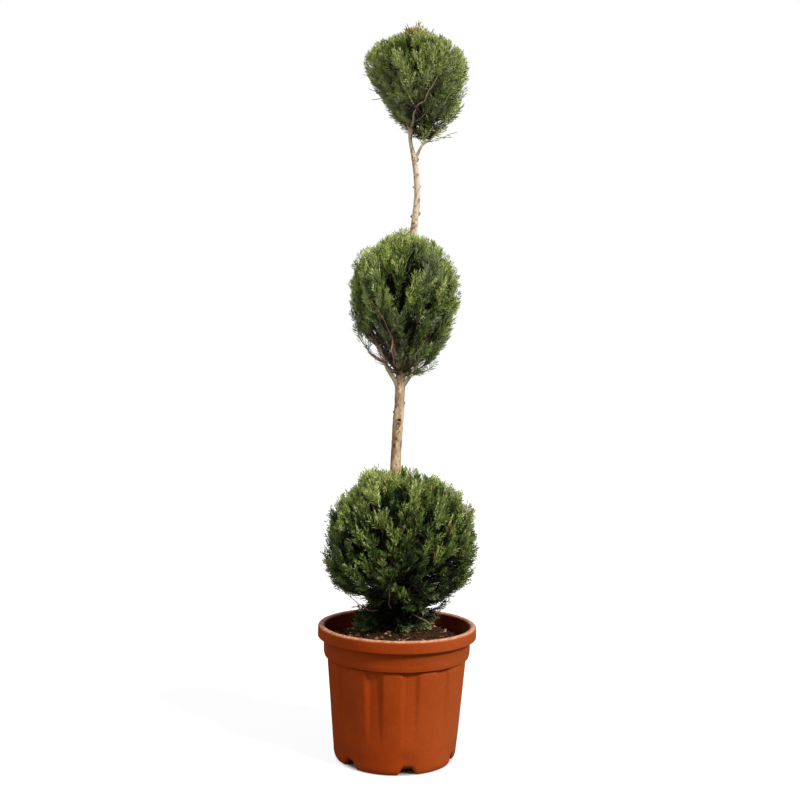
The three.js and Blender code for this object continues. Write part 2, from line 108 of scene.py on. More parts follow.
# The inner wall's step under the band, and how far its foot stands in
INNER_STEP = 8
INNER_FOOT = 2
PANEL_COUNT = 12
PANEL_PHASE = math.radians(-3)
PANEL_HALF_WIDTH = math.radians(9.0)
PANEL_CORNER = 15
PANEL_EDGE = 6
PANEL_GAP = 2
GROOVE_DEPTH = 7
GROOVE_END = 60
GROOVE_TAPER = 0.7
NOTCH_COUNT = 6
NOTCH_PHASE = math.radians(12)
NOTCH_FOOT = 40
NOTCH_TOP = 19
NOTCH_HEIGHT = 15
NOTCH_REACH = 60
NOTCH_DISH = 4
NOTCH_DISH_WIDTH = 25
POT_COLUMNS = 360
# The x over which a painted sheen comes in on the pot's lit right side
PAINTED_SHEEN_SIDE = (-20, 170)
CLAY = (0.224, 0.0312, 0.0040)
CLAY_WORN = (0.262, 0.0410, 0.0062)
# Dust, and the pale colour of the lip's wear with its painted highlight
CLAY_DUST_AND_HIGHLIGHT = (0.620, 0.340, 0.205)
# Painted sheen: the paler colour of the pot's lit side
CLAY_PAINTED_SHEEN = (0.265, 0.0560, 0.0130)
CLAY_DEEP = (0.157, 0.0200, 0.0025)
# Painted shade on the pot's inner wall
CLAY_PAINTED_SHADE = (0.110, 0.0170, 0.0035)
POT_GLOSS = 0.03
LIP_ROUGHNESS = 0.55
# How far down the lip's rounding its wear and painted highlight reach, as a share
LIP_WEAR_AND_HIGHLIGHT = 0.7
POT_SHEEN = (1.0, 0.50, 0.28)

LIP_UNDER = POT_HEIGHT - LIP_HEIGHT
BAND_UNDER = LIP_UNDER - BAND_HEIGHT


def smooth_step(value, low, high):
    """0 below low, 1 above high, and eased in between."""
    share = np.clip((value - low) / (high - low), 0, 1)
    return share * share * (3 - 2 * share)


def arc(centre, radius, start, end, count):
    """Points of a round stretch of a profile, with its angles in degrees."""
    angles = np.radians(np.linspace(start, end, count))
    return [(centre[0] + radius * math.cos(a), centre[1] + radius * math.sin(a)) for a in angles]


def pot_outside():
    """Radius and height of the pot's profile, from the ring that it stands on up to the lip."""
    foot_width = FOOT_RADIUS - STAND_RADIUS
    foot = [
        (STAND_RADIUS + foot_width * math.sin(t), FOOT_ROUND * (1 - math.cos(t)))
        for t in np.linspace(0, math.pi / 2, FOOT_ROWS)
    ]
    body_width = BODY_TOP_RADIUS - FOOT_RADIUS
    body_height = BAND_UNDER - BODY_GAP - FOOT_ROUND
    body = [
        (FOOT_RADIUS + body_width * share, FOOT_ROUND + body_height * share)
        for share in 1 - (1 - np.linspace(0, 1, BODY_ROWS)[1:]) ** BODY_BULGE
    ]
    band = [(BAND_RADIUS + out, BAND_UNDER + up) for out, up in BAND_STEPS]
    lower = (RIM_RADIUS - LIP_LOWER_ROUND, LIP_UNDER + LIP_LOWER_ROUND)
    outer = (RIM_RADIUS - LIP_ROUND, POT_HEIGHT - LIP_ROUND)
    inner = (RIM_RADIUS - LIP_WIDTH + LIP_ROUND, POT_HEIGHT - LIP_ROUND)
    lip = [
        *arc(lower, LIP_LOWER_ROUND, -90, 0, 5),
        *arc(outer, LIP_ROUND, 0, 90, 8),
        *arc(inner, LIP_ROUND, 90, 180, 8),
    ]
    return foot + body + band + lip


def pot_inside():
    """Radius and height of the pot's inner wall, from under the lip down to the floor."""
    return [
        (BAND_RADIUS + 0.8 - POT_WALL * 0.4, LIP_UNDER),
        (BAND_RADIUS - POT_WALL, BAND_UNDER + INNER_STEP),
        (BODY_TOP_RADIUS - GROOVE_DEPTH - POT_WALL, BAND_UNDER),
        (FOOT_RADIUS - POT_WALL - INNER_FOOT, POT_FLOOR + 2 * POT_WALL),
    ]


def off_centre(angle, count, phase):
    """How far an angle is from the nearest of so many places that are spaced evenly round."""
    pitch = 2 * math.pi / count
    return np.abs((angle - phase + pitch / 2) % pitch - pitch / 2)


def panel_share(angle, height):
    """1 on a raised panel and 0 in a groove, for a panel with rounded upper corners."""
    offset = off_centre(angle, PANEL_COUNT, PANEL_PHASE)
    aside = (offset - PANEL_HALF_WIDTH) * BODY_TOP_RADIUS + PANEL_CORNER
    above = height - (BAND_UNDER - PANEL_GAP) + PANEL_CORNER
    outside = np.hypot(np.maximum(aside, 0), np.maximum(above, 0))
    outside = outside + np.minimum(np.maximum(aside, above), 0)
    return 1 - smooth_step(outside - PANEL_CORNER, -PANEL_EDGE, PANEL_EDGE)


def notch_share(angle):
    """1 over the flat top of a drainage notch and 0 beside it, and how far off its middle it is."""
    offset = off_centre(angle, NOTCH_COUNT, NOTCH_PHASE) * STAND_RADIUS
    return 1 - np.clip((offset - NOTCH_TOP / 2) / (NOTCH_FOOT / 2 - NOTCH_TOP / 2), 0, 1), offset


def grid_faces(rows, columns):
    """Quads of a grid of points that closes round its columns, and a fan at each of its ends."""
    low = np.arange(rows - 1)[:, None] * columns
    here = np.arange(columns)[None, :]
    following = (here + 1) % columns
    upper = low + columns
    quads = np.stack([low + here, low + following, upper + following, upper + here], axis=-1)
    first, last = rows * columns, rows * columns + 1
    end = (rows - 1) * columns
    fans = [(first, b, a) for a, b in zip(here[0], following[0])]
    fans += [(last, end + a, end + b) for a, b in zip(here[0], following[0])]
    return quads.reshape(-1, 4).tolist() + [tuple(int(i) for i in fan) for fan in fans]


def closed_grid(points):
    """Points and faces of a closed skin of rings, with a middle point at each end."""
    rows, columns = points.shape[:2]
    ends = [points[0].mean(axis=0), points[-1].mean(axis=0)]
    return np.vstack([points.reshape(-1, 3), ends]), grid_faces(rows, columns)


def joined(skins):
    """Several skins of points and faces as one."""
    points, faces, count = [], [], 0
    for skin_points, skin_faces in skins:
        points.append(skin_points)
        faces += [[i + count for i in face] for face in skin_faces]
        count += len(skin_points)
    return np.vstack(points), faces


def placed(name, mesh):
    """A mesh as an object at the origin."""
    piece = bpy.data.objects.new(name, mesh)
    bpy.context.scene.collection.objects.link(piece)
    return piece


def new_piece(name, points, faces, material, sharp_angle=40):
    """An object at the origin with a smooth mesh, whose edges stay sharp past that angle."""
    mesh = bpy.data.meshes.new(name)
    mesh.from_pydata((np.asarray(points) * MILLIMETRE).tolist(), [], faces)
    mesh.materials.append(material)
    mesh.shade_smooth()
    mesh.set_sharp_from_angle(angle=math.radians(sharp_angle))
    return placed(name, mesh)


def fit(piece, slot, *nodes):
    """The piece stands for these nodes of the frame and moves with the plant."""
    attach(piece, "root")
    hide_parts(*nodes)


def add_node(nodes, kind, **settings):
    """A node with its settings and, by socket name, its input values."""
    node = nodes.new(kind)
    for key, value in settings.items():
        if key in node.inputs:
            node.inputs[key].default_value = value
        else:
            setattr(node, key, value)
    return node


def make_mottling():
    """Shader group: a cloudy mask between two levels of a noise, and the noise itself."""
    group = bpy.data.node_groups.new("mottling", "ShaderNodeTree")
    group.interface.new_socket("Place", in_out="INPUT", socket_type="NodeSocketVector")
    for name, value in (("Scale", 20.0), ("Detail", 4.0), ("Low", 0.4), ("High", 0.6)):
        socket = group.interface.new_socket(name, in_out="INPUT", socket_type="NodeSocketFloat")
        socket.default_value = value
    for name in ("Mask", "Noise"):
        group.interface.new_socket(name, in_out="OUTPUT", socket_type="NodeSocketFloat")
    start = group.nodes.new("NodeGroupInput")
    end = group.nodes.new("NodeGroupOutput")
    noise = group.nodes.new("ShaderNodeTexNoise")
    spread = add_node(group.nodes, "ShaderNodeMapRange", clamp=True)
    group.links.new(start.outputs["Place"], noise.inputs["Vector"])
    group.links.new(start.outputs["Scale"], noise.inputs["Scale"])
    group.links.new(start.outputs["Detail"], noise.inputs["Detail"])
    group.links.new(noise.outputs["Fac"], spread.inputs["Value"])
    group.links.new(start.outputs["Low"], spread.inputs["From Min"])
    group.links.new(start.outputs["High"], spread.inputs["From Max"])
    group.links.new(spread.outputs["Result"], end.inputs["Mask"])
    group.links.new(noise.outputs["Fac"], end.inputs["Noise"])
    return group


MOTTLING = make_mottling()


class Finish:
    """A material under construction: its nodes, and the shader that they feed."""

    def __init__(self, name, roughness=0.5, stretch=(1, 1, 1)):
        self.material = bpy.data.materials.new(name)
        self.material.use_nodes = True
        self.nodes = self.material.node_tree.nodes
        self.links = self.material.node_tree.links
        self.shader = self.nodes["Principled BSDF"]
        self.shader.inputs["Roughness"].default_value = roughness
        place = self.nodes.new("ShaderNodeTexCoord")
        mapping = add_node(self.nodes, "ShaderNodeMapping", Scale=stretch)
        self.links.new(place.outputs["Object"], mapping.inputs["Vector"])
        self.place = mapping.outputs["Vector"]

    def mottled(self, scale, detail, low, high):
        """The mottling group at that scale."""
        node = self.nodes.new("ShaderNodeGroup")
        node.node_tree = MOTTLING
        for name, value in (("Scale", scale), ("Detail", detail), ("Low", low), ("High", high)):
            node.inputs[name].default_value = value
        self.links.new(self.place, node.inputs["Place"])
        return node

    def product(self, first, second):
        """A value scaled by another, which is a plain number or an output."""
        node = add_node(self.nodes, "ShaderNodeMath", operation="MULTIPLY")
        self.links.new(first, node.inputs[0])
        if isinstance(second, float):
            node.inputs[1].default_value = second
        else:
            self.links.new(second, node.inputs[1])
        return node.outputs[0]

    def attribute(self, name):
        """A value that the mesh holds for each of its points."""
        return add_node(self.nodes, "ShaderNodeAttribute", attribute_name=name).outputs["Fac"]

    def mixed(self, mask, first, second, share=1.0):
        """From one colour to another by a share of a mask. A colour is a tuple or an output."""
        node = add_node(self.nodes, "ShaderNodeMix", data_type="RGBA")
        self.links.new(mask if share == 1 else self.product(mask, share), node.inputs["Factor"])
        for socket, colour in ((node.inputs[6], first), (node.inputs[7], second)):
            if isinstance(colour, tuple):
                socket.default_value = (*colour, 1)
            else:
                self.links.new(colour, socket)
        return node.outputs[2]

    def ranged(self, mask, low, high):
        """A mask turned into a value between two levels."""
        node = self.nodes.new("ShaderNodeMapRange")
        self.links.new(mask, node.inputs["Value"])
        node.inputs["To Min"].default_value = low
        node.inputs["To Max"].default_value = high
        return node.outputs["Result"]

    def bumped(self, height, strength, distance):
        """Fine relief on the shader's normal."""
        node = add_node(self.nodes, "ShaderNodeBump", Strength=strength, Distance=distance)
        self.links.new(height, node.inputs["Height"])
        self.links.new(node.outputs["Normal"], self.shader.inputs["Normal"])

    def feed(self, socket, value):
        """Links a value to one of the shader's inputs."""
        self.links.new(value, self.shader.inputs[socket])


def pot_finish():
    """Plastic with a fine grain: a painted sheen on its lit side, rubbed pale with a painted highlight on
    the lip, and painted shade inside.
    """
    finish = Finish("terracotta_plastic")
    finish.shader.inputs["Specular IOR Level"].default_value = POT_GLOSS
    finish.shader.inputs["Specular Tint"].default_value = (*POT_SHEEN, 1)
    finish.shader.inputs["Coat Roughness"].default_value = LIP_ROUGHNESS
    finish.feed("Coat Weight", finish.attribute("wear"))
    cloud = finish.mottled(scale=9, detail=3, low=0.35, high=0.7)
    scuff = finish.mottled(scale=46, detail=6, low=0.56, high=0.74)
    rub = finish.mottled(scale=120, detail=4, low=0.25, high=0.6)
    grain = finish.mottled(scale=420, detail=2, low=0.35, high=0.65)
    colour = finish.mixed(cloud.outputs["Mask"], CLAY, CLAY_WORN)
    # Painted sheen, paler towards the lit right side
    colour = finish.mixed(finish.attribute("bleach"), colour, CLAY_PAINTED_SHEEN)
    colour = finish.mixed(scuff.outputs["Mask"], colour, CLAY_DUST_AND_HIGHLIGHT, share=0.02)
    colour = finish.mixed(grain.outputs["Mask"], colour, CLAY_DEEP, share=0.35)
    # The lip rubbed pale, with a painted highlight along its top
    worn_and_lit = finish.product(finish.attribute("wear"), rub.outputs["Mask"])
    colour = finish.mixed(worn_and_lit, colour, CLAY_DUST_AND_HIGHLIGHT, share=0.85)
    # Painted shade on the inner wall, below the lip's edge
    finish.feed("Base Color", finish.mixed(finish.attribute("stain"), colour, CLAY_PAINTED_SHADE))
    finish.feed("Roughness", finish.ranged(scuff.outputs["Noise"], low=0.45, high=0.70))
    finish.bumped(grain.outputs["Noise"], strength=0.12, distance=0.0004)
    return finish.material


def points_of(*coordinates):
    """Points from arrays of their coordinates, which are spread to one shape."""
    return np.stack(np.broadcast_arrays(*coordinates), axis=-1)


def pot_skin():
    """The pot's skin, with the wear and painted highlight, the painted shade inside and the painted sheen
    at each of its points.
    """
    profile = [(STAND_RADIUS - STAND_WIDTH, POT_FLOOR), (STAND_RADIUS - STAND_WIDTH + 1, 0)]
    profile += pot_outside() + pot_inside()
    radius, height = np.array(profile).T[:, :, None]
    angle = np.linspace(0, 2 * math.pi, POT_COLUMNS, endpoint=False)[None, :]
    row = np.arange(len(profile))[:, None]
    top_row = int(np.argmax(np.array(profile)[:, 1]))
    # Wear and a painted highlight along the top of the lip
    wear = smooth_step(height, POT_HEIGHT - LIP_ROUND * LIP_WEAR_AND_HIGHLIGHT, POT_HEIGHT) + 0 * angle
    inner_edge = RIM_RADIUS - LIP_WIDTH
    past_lip = 1 - smooth_step(radius, inner_edge - 1.2, inner_edge + 0.6)
    # Painted shade on the inner wall, below the lip's edge
    stain = (row > top_row) * past_lip + 0 * angle
    on_body = (row < top_row) & (height < BAND_UNDER) & (radius > STAND_RADIUS)
    groove = (1 - panel_share(angle, height)) * GROOVE_DEPTH
    groove = groove * np.clip((height - GROOVE_END) / (BAND_UNDER - GROOVE_END), 0, 1) ** GROOVE_TAPER
    notch, offset = notch_share(angle)
    near_foot = (row > 0) & (row < top_row)
    lift = np.clip(1 - height / NOTCH_REACH, 0, 1) * near_foot
    dish = NOTCH_DISH * np.exp(-(offset / NOTCH_DISH_WIDTH) ** 2) * smooth_step(lift, 0, 0.8)
    radius = radius - groove * on_body - dish * (radius > STAND_RADIUS)
    height = height + lift * notch * NOTCH_HEIGHT
    points = points_of(radius * np.sin(angle), -radius * np.cos(angle), height)
    # A painted sheen that rises towards the right, where the key light falls
    bleach = smooth_step(points[..., 0], *PAINTED_SHEEN_SIDE)
    marks = {
        "wear": np.append(wear, (0, 0)),
        "stain": np.append(stain, (1, 1)),
        "bleach": np.append(bleach, (0, 0)),
    }
    return *closed_grid(points), marks


def mark(piece, marks):
    """Writes values for each point of a piece on its mesh, for its finish to read."""
    for key, values in marks.items():
        attribute = piece.data.attributes.new(key, "FLOAT", "POINT")
        attribute.data.foreach_set("value", np.asarray(values, np.float32))


pot_points, pot_faces, pot_marks = pot_skin()
pot = new_piece("pot_shell", pot_points, pot_faces, pot_finish(), sharp_angle=50)
mark(pot, pot_marks)
fit(pot, "pot_plastic", "pot")


# Compost
# Dark potting mix that lies inside the wall and is mounded up to the trunk's foot, almost as
# high as the lip. Loose crumbs, pale chips of bark and dry stalks lie on it.
SOIL_HEIGHT = 281
SOIL_EDGE_DROP = 31
SOIL_FLAT_RADIUS = 40
SOIL_SLOPE = 1.5
SOIL_MIDDLE = 2
SOIL_CLEARANCE = 0.5
SOIL_RADIUS = BAND_RADIUS - POT_WALL - 2 * SOIL_CLEARANCE
SOIL_ROWS = 70
SOIL_COLUMNS = 200
# Its rough surface: height and length of crossing waves, their number and their seed
SOIL_RIPPLES = ((2.0, 34, 12, 3), (1.3, 11, 14, 4), (0.6, 4.5, 14, 5))
EARTH = (0.0130, 0.0054, 0.0024)
EARTH_DRY = (0.060, 0.027, 0.0115)
CRUMB = (0.032, 0.0145, 0.0065)
CHIP = (0.440, 0.270, 0.125)
STALK = (0.260, 0.120, 0.075)
EARTH_GLOSS = 0.1
# Litter: its first seed, how flat and how long its lumps are, how many there are to a square
# metre, their smallest and largest size, and their colour
LITTER = {
    "compost_crumbs": (0, 0.7, 1.2, 20000, (2.5, 9.0), EARTH),
    "bark_chips": (4, 0.22, 2.6, 2800, (2.0, 10.0), CHIP),
    "dry_stalks": (8, 0.9, 9.0, 900, (1.2, 2.2), STALK),
}
LUMPS_EACH = 4
LITTER_INSET = 4
LITTER_SEED = 11
LITTER_TILT = 0.5


def ripples(points, length, count, seed):
    """A rough even noise about 0, from crossing waves of about that length."""
    random = np.random.default_rng(seed)
    waves = random.normal(size=(count, 3))
    waves *= 2 * math.pi / length / np.linalg.norm(waves, axis=1, keepdims=True)
    waves *= random.uniform(0.7, 1.4, (count, 1))
    phases = random.uniform(0, 2 * math.pi, count)
    return np.sin(points @ waves.T + phases).sum(axis=-1) / math.sqrt(count)


def soil_height(radius):
    """How high the mound is at that distance from the pot's middle."""
    share = np.clip((radius - SOIL_FLAT_RADIUS) / (SOIL_RADIUS - SOIL_FLAT_RADIUS), 0, 1)
    return SOIL_HEIGHT - SOIL_EDGE_DROP * share**SOIL_SLOPE


def soil_top():
    """Rings of the compost's surface, from its edge in to the trunk."""
    radius = np.linspace(SOIL_RADIUS, SOIL_MIDDLE, SOIL_ROWS)[:, None]
    angle = np.linspace(0, 2 * math.pi, SOIL_COLUMNS, endpoint=False)[None, :]
    height = soil_height(radius)
    points = points_of(radius * np.cos(angle), radius * np.sin(angle), height)
    rough = sum(size * ripples(points, *waves) for size, *waves in SOIL_RIPPLES)
    points[..., 2] += rough * smooth_step(radius, SOIL_FLAT_RADIUS * 0.5, SOIL_FLAT_RADIUS)
    return points


def soil_skin(top):
    """The compost's skin: up the inside of the pot's wall, and then over its surface."""
    angle = np.linspace(0, 2 * math.pi, SOIL_COLUMNS, endpoint=False)
    rings = []
    for radius, height in pot_inside()[:0:-1]:
        out = radius - SOIL_CLEARANCE
        rings.append(points_of(out * np.cos(angle), out * np.sin(angle), height + SOIL_CLEARANCE))
    return closed_grid(np.concatenate([np.array(rings), top]))


def compost_finish():
    """Matt earth, drier and paler in patches, with a coarse grain."""
    finish = Finish("compost", roughness=0.95)
    finish.shader.inputs["Specular IOR Level"].default_value = EARTH_GLOSS
    damp = finish.mottled(scale=60, detail=5, low=0.47, high=0.72)
    grain = finish.mottled(scale=420, detail=5, low=0.35, high=0.65)
    colour = finish.mixed(damp.outputs["Mask"], EARTH, EARTH_DRY)
    finish.feed("Base Color", finish.mixed(grain.outputs["Mask"], colour, CRUMB, share=0.5))
    finish.bumped(grain.outputs["Noise"], strength=0.6, distance=0.0016)
    return finish.material


def litter_finish(name, colour, shade):
    """Dry stuff of one colour, soiled in patches."""
    finish = Finish(name, roughness=0.85)
    finish.shader.inputs["Specular IOR Level"].default_value = EARTH_GLOSS
    stain = finish.mottled(scale=160, detail=3, low=0.35, high=0.7)
    finish.feed("Base Color", finish.mixed(stain.outputs["Mask"], colour, shade))
    return finish.material


class GeometryTree:
    """A geometry node tree with named inputs, that ends in Realize Instances and Set Material."""

    def __init__(self, name, inputs):
        self.tree = bpy.data.node_groups.new(name, "GeometryNodeTree")
        self.nodes = self.tree.nodes
        face = self.tree.interface
        face.new_socket("Geometry", in_out="INPUT", socket_type="NodeSocketGeometry")
        face.new_socket("Geometry", in_out="OUTPUT", socket_type="NodeSocketGeometry")
        self.identifiers = {}
        for key, kind in {**inputs, "Material": "NodeSocketMaterial"}.items():
            socket = face.new_socket(key, in_out="INPUT", socket_type=kind)
            self.identifiers[key] = socket.identifier
        self.start = self.nodes.new("NodeGroupInput")
        self.end = self.nodes.new("NodeGroupOutput")

    def add(self, kind, links=(), **settings):
        """A node with its settings, and links of input name or number to an output."""
        node = add_node(self.nodes, kind, **settings)
        for socket, output in dict(links).items():
            self.tree.links.new(output, node.inputs[socket])
        return node

    def deal(self, links):
        """Instances of the patterns on points, with one pattern picked for each."""
        patterns = self.add("GeometryNodeCollectionInfo", {"Collection": self.start.outputs["Patterns"]})
        patterns.inputs["Separate Children"].default_value = True
        patterns.inputs["Reset Children"].default_value = True
        links = {**links, "Instance": patterns.outputs["Instances"]}
        dealt = self.add("GeometryNodeInstanceOnPoints", links)
        dealt.inputs["Pick Instance"].default_value = True
        return dealt.outputs["Instances"]

    def close(self, geometry):
        """Makes the geometry one mesh of the given material, and puts it out."""
        whole = self.add("GeometryNodeRealizeInstances", {"Geometry": geometry})
        painted = self.add("GeometryNodeSetMaterial", {
            "Geometry": whole.outputs["Geometry"],
            "Material": self.start.outputs["Material"],
        })
        self.tree.links.new(painted.outputs["Geometry"], self.end.inputs["Geometry"])

    def grow(self, piece, **values):
        """Runs the tree on a piece and leaves the result as the piece's own plain mesh."""
        modifier = piece.modifiers.new("grow", "NODES")
        modifier.node_group = self.tree
        for key, value in values.items():
            modifier[self.identifiers[key]] = value
        ready = piece.evaluated_get(bpy.context.evaluated_depsgraph_get())
        mesh = bpy.data.meshes.new_from_object(ready)
        piece.modifiers.remove(modifier)
        seed_mesh = piece.data
        piece.data = mesh
        bpy.data.meshes.remove(seed_mesh)
        mesh.name = piece.name
        return piece


def pattern_set(name, skins):
    """A collection of small patterns that a geometry tree deals out. It stays out of the scene."""
    patterns = bpy.data.collections.new(name)
    for i, (points, faces) in enumerate(skins):
        mesh = bpy.data.meshes.new(f"{name}_{i}")
        mesh.from_pydata(np.asarray(points).tolist(), [], faces)
        patterns.objects.link(bpy.data.objects.new(f"{name}_{i}", mesh))
    return patterns


def drop_patterns(patterns):
    """Clears a set of patterns away once its pieces are made."""
    for pattern in list(patterns.objects):
        mesh = pattern.data
        bpy.data.objects.remove(pattern)
        bpy.data.meshes.remove(mesh)
    bpy.data.collections.remove(patterns)


def make_litter_tree():
    """Scatters patterns of a set over a surface, each turned and sized at random."""
    tree = GeometryTree("litter", {
        "Patterns": "NodeSocketCollection",
        "Density": "NodeSocketFloat",
        "Smallest": "NodeSocketFloat",
        "Largest": "NodeSocketFloat",
        "Seed": "NodeSocketInt",
    })
    given = tree.start.outputs
    strewn = tree.add("GeometryNodeDistributePointsOnFaces", {
        "Mesh": given["Geometry"],
        "Density": given["Density"],
        "Seed": given["Seed"],
    })
    turn = tree.add("FunctionNodeRandomValue", {"Seed": given["Seed"]}, data_type="FLOAT_VECTOR")
    turn.inputs[0].default_value = (-LITTER_TILT, -LITTER_TILT, 0)
    turn.inputs[1].default_value = (LITTER_TILT, LITTER_TILT, 2 * math.pi)
    size = tree.add("FunctionNodeRandomValue", {"Seed": given["Seed"]}, data_type="FLOAT")
    tree.tree.links.new(given["Smallest"], size.inputs[2])
    tree.tree.links.new(given["Largest"], size.inputs[3])
    tree.close(tree.deal({
        "Points": strewn.outputs["Points"],
        "Rotation": turn.outputs[0],
        "Scale": size.outputs[1],
    }))
    return tree


def lump_skin(seed, flatness, stretch):
    """A knobbly lump of about unit size: a ring of five points and two poles, pushed about."""
    random = np.random.default_rng(seed)
    ring = np.array([(math.cos(a), math.sin(a), 0) for a in np.linspace(0, 2 * math.pi, 6)[:-1]])
    points = np.vstack([ring, [(0, 0, 1), (0, 0, -1)]]) * random.uniform(0.7, 1.2, (7, 1))
    points *= (0.5 * stretch, 0.5, 0.5 * flatness)
    faces = [(i, (i + 1) % 5, 5) for i in range(5)] + [((i + 1) % 5, i, 6) for i in range(5)]
    return points, faces


top_rings = soil_top()
compost = new_piece("compost", *soil_skin(top_rings), compost_finish())
fit(compost, "compost", "potting_soil")

litter_tree = make_litter_tree()
for name, (seed, flatness, stretch, density, sizes, colour) in LITTER.items():
    lumps = pattern_set(name, [lump_skin(seed + i, flatness, stretch) for i in range(LUMPS_EACH)])
    finish = litter_finish(name, colour, EARTH_DRY)
    litter = new_piece(name, *closed_grid(top_rings[LITTER_INSET:]), finish)
    litter_tree.grow(
        litter,
        Patterns=lumps,
        Density=float(density),
        Smallest=sizes[0] * MILLIMETRE,
        Largest=sizes[1] * MILLIMETRE,
        Seed=LITTER_SEED,
        Material=finish,
    )
    drop_patterns(lumps)
    fit(litter, "compost", "potting_soil")


# Trunk
# One stem with smooth, pale, peeling bark, cut clean of side growth between the balls. Knots
# and short stubs show where branches were pruned off, and the foot flares into the compost.
SEAT_GAP = 0.3
TRUNK_STATIONS = np.array([
    (-12, 0, SOIL_HEIGHT + SEAT_GAP, 14),
    (-13, 0, 440, 13),
    (-10.4, 0, 640, 11.9),
    (-4, 0, 800, 10.9),
    (-1, 4, 900, 10),
    (10, 4, 1040, 9),
    (19.7, 0, 1162, 8),
    (25.6, 0, 1248, 6.5),
    (17.8, 0, 1318, 6),
    (8.6, 0, 1360, 4.2),
    (8.8, 0, 1386, 5.6),
])
TRUNK_COLUMNS = 48
TRUNK_ROWS = 560
ROOT_FLARE = 11
ROOT_FLARE_HEIGHT = 22
FOOT_FLUTES = 5
FLUTE_DEPTH = 2.2
# Earth stain and painted shade on the trunk's foot, and the heights over which they fade
FOOT_EARTH_AND_SHADE = 0.85
FOOT_SHADE_HEIGHTS = (288, 340)
# Pruning stubs: height on the trunk, direction in degrees from +X, radius and length
STUBS = (
    (751, 221, 3.4, 16.5),
    (731, 280, 5, 19),
    (773, 350, 3, 15),
    (1194, 345, 3.2, 14),
    (1189, 190, 3, 11),
    (1256, 355, 2.6, 10),
    (1254, 185, 2.6, 10),
    (1316, 340, 3.8, 11),
)
STUB_RISE = 0.7
STUB_COLUMNS = 18
STUB_RELIEF = 0.12
# A stub from the trunk out and into its cut: shares of its length and radius, and how dark it is
STUB_PROFILE = np.array((
    (0.3, 1.6, 0), (0.55, 1.45, 0), (0.75, 1.2, 0.1), (0.9, 1.1, 0.25),
    (1, 0.95, 0.3), (1, 0.72, 0.8), (0.93, 0.55, 1), (0.86, 0.25, 1),
))
# Healed knots and brown scars: height, direction, radius across and share of length upright
SCARS = (
    (700, 257, 4, 1.2),
    (684, 238, 3.4, 1.3),
    (686, 321, 3, 3.6),
    (1284, 309, 2.4, 1.5),
    (1229, 316, 2.4, 1.2),
    (1176, 262, 2.6, 1.3),
    (700, 80, 4.5, 1.4),
    (760, 130, 3.6, 1.6),
    (1210, 95, 3, 1.4),
)
# Patches of brown specks: height, direction, radius and share of length upright
BLOTCHES = (
    (724, 266, 9, 1.7),
    (692, 252, 7, 1.4),
    (775, 235, 7, 2.4),
    (1168, 252, 8, 1.6),
    (1316, 230, 6, 2),
    (720, 100, 10, 1.7),
)
# Specks: their length, the levels of a noise between which they come up inside a patch and
# outside one, and how dark those outside are
SPECK_LENGTH = 8
PATCH_SPECKS = (-0.2, 0.4)
LONE_SPECKS = (0.9, 1.5)
LONE_SPECK_STAIN = 0.8
SCAR_STAIN = 0.62
SCAR_DEPTH = 0.3
# Paleness of the bark: low down, how much more of it higher up and between which heights, and how much
# painted light it gains for each millimetre towards the key light
BLEACH_LOW = 0.05
BLEACH_HIGH = 0.55
BLEACH_HEIGHTS = (880, 1200)
PAINTED_LIGHT_SIDE = 0.024
KEY_LIGHT_WAY = np.array((0.64, -0.77))
# Bark relief in shares of the limb's radius, and how far folds and streaks are drawn out
FOLD_DEPTH = 0.045
RIPPLE_DEPTH = 0.020
FLAKE_DEPTH = 0.012
FOLD_STRETCH = 0.3
STREAK_STRETCH = 0.32
BARK_PALE = (0.435, 0.335, 0.200)
BARK_TAN = (0.225, 0.120, 0.052)
BARK_BROWN = (0.125, 0.056, 0.021)
# The darkest bark, in knots and cuts, which also paints shade at the trunk's foot
KNOT_AND_SHADE_DARK = (0.034, 0.0145, 0.0055)
# The palest bark, which also paints light on the trunk's lit side
BARK_BLEACHED_AND_LIT = (0.610, 0.515, 0.395)
BARK_GLOSS = 0.15


def smooth_path(stations, rows):
    """Places and radii along a curve through stations of x, y, z and radius."""
    stations = np.asarray(stations, float)
    places = stations[:, :3]
    ends = (2 * places[:1] - places[1:2], 2 * places[-1:] - places[-2:-1])
    knots = np.vstack([ends[0], places, ends[1]])
    share = np.linspace(0, len(places) - 1, rows)
    below = np.minimum(share.astype(int), len(places) - 2)
    t = (share - below)[:, None]
    p0, p1, p2, p3 = (knots[below + i] for i in range(4))
    spans = ((p0, p1), (p1, p2), (p2, p3))
    d0, d1, d2 = (np.sqrt(np.linalg.norm(b - a, axis=1, keepdims=True)) for a, b in spans)
    m1 = d1 * ((p1 - p0) / d0 - (p2 - p0) / (d0 + d1) + (p2 - p1) / d1)
    m2 = d1 * ((p2 - p1) / d1 - (p3 - p1) / (d1 + d2) + (p3 - p2) / d2)
    curve = p1 + m1 * t + (3 * (p2 - p1) - 2 * m1 - m2) * t**2 + (2 * (p1 - p2) + m1 + m2) * t**3
    return curve, np.interp(share, np.arange(len(stations)), stations[:, 3])


def unit(vectors):
    """Vectors brought to a length of 1."""
    return vectors / np.linalg.norm(vectors, axis=-1, keepdims=True)


def run_along(path):
    """How far each point of a path is from its start."""
    return np.append(0, np.cumsum(np.linalg.norm(np.diff(path, axis=0), axis=1)))


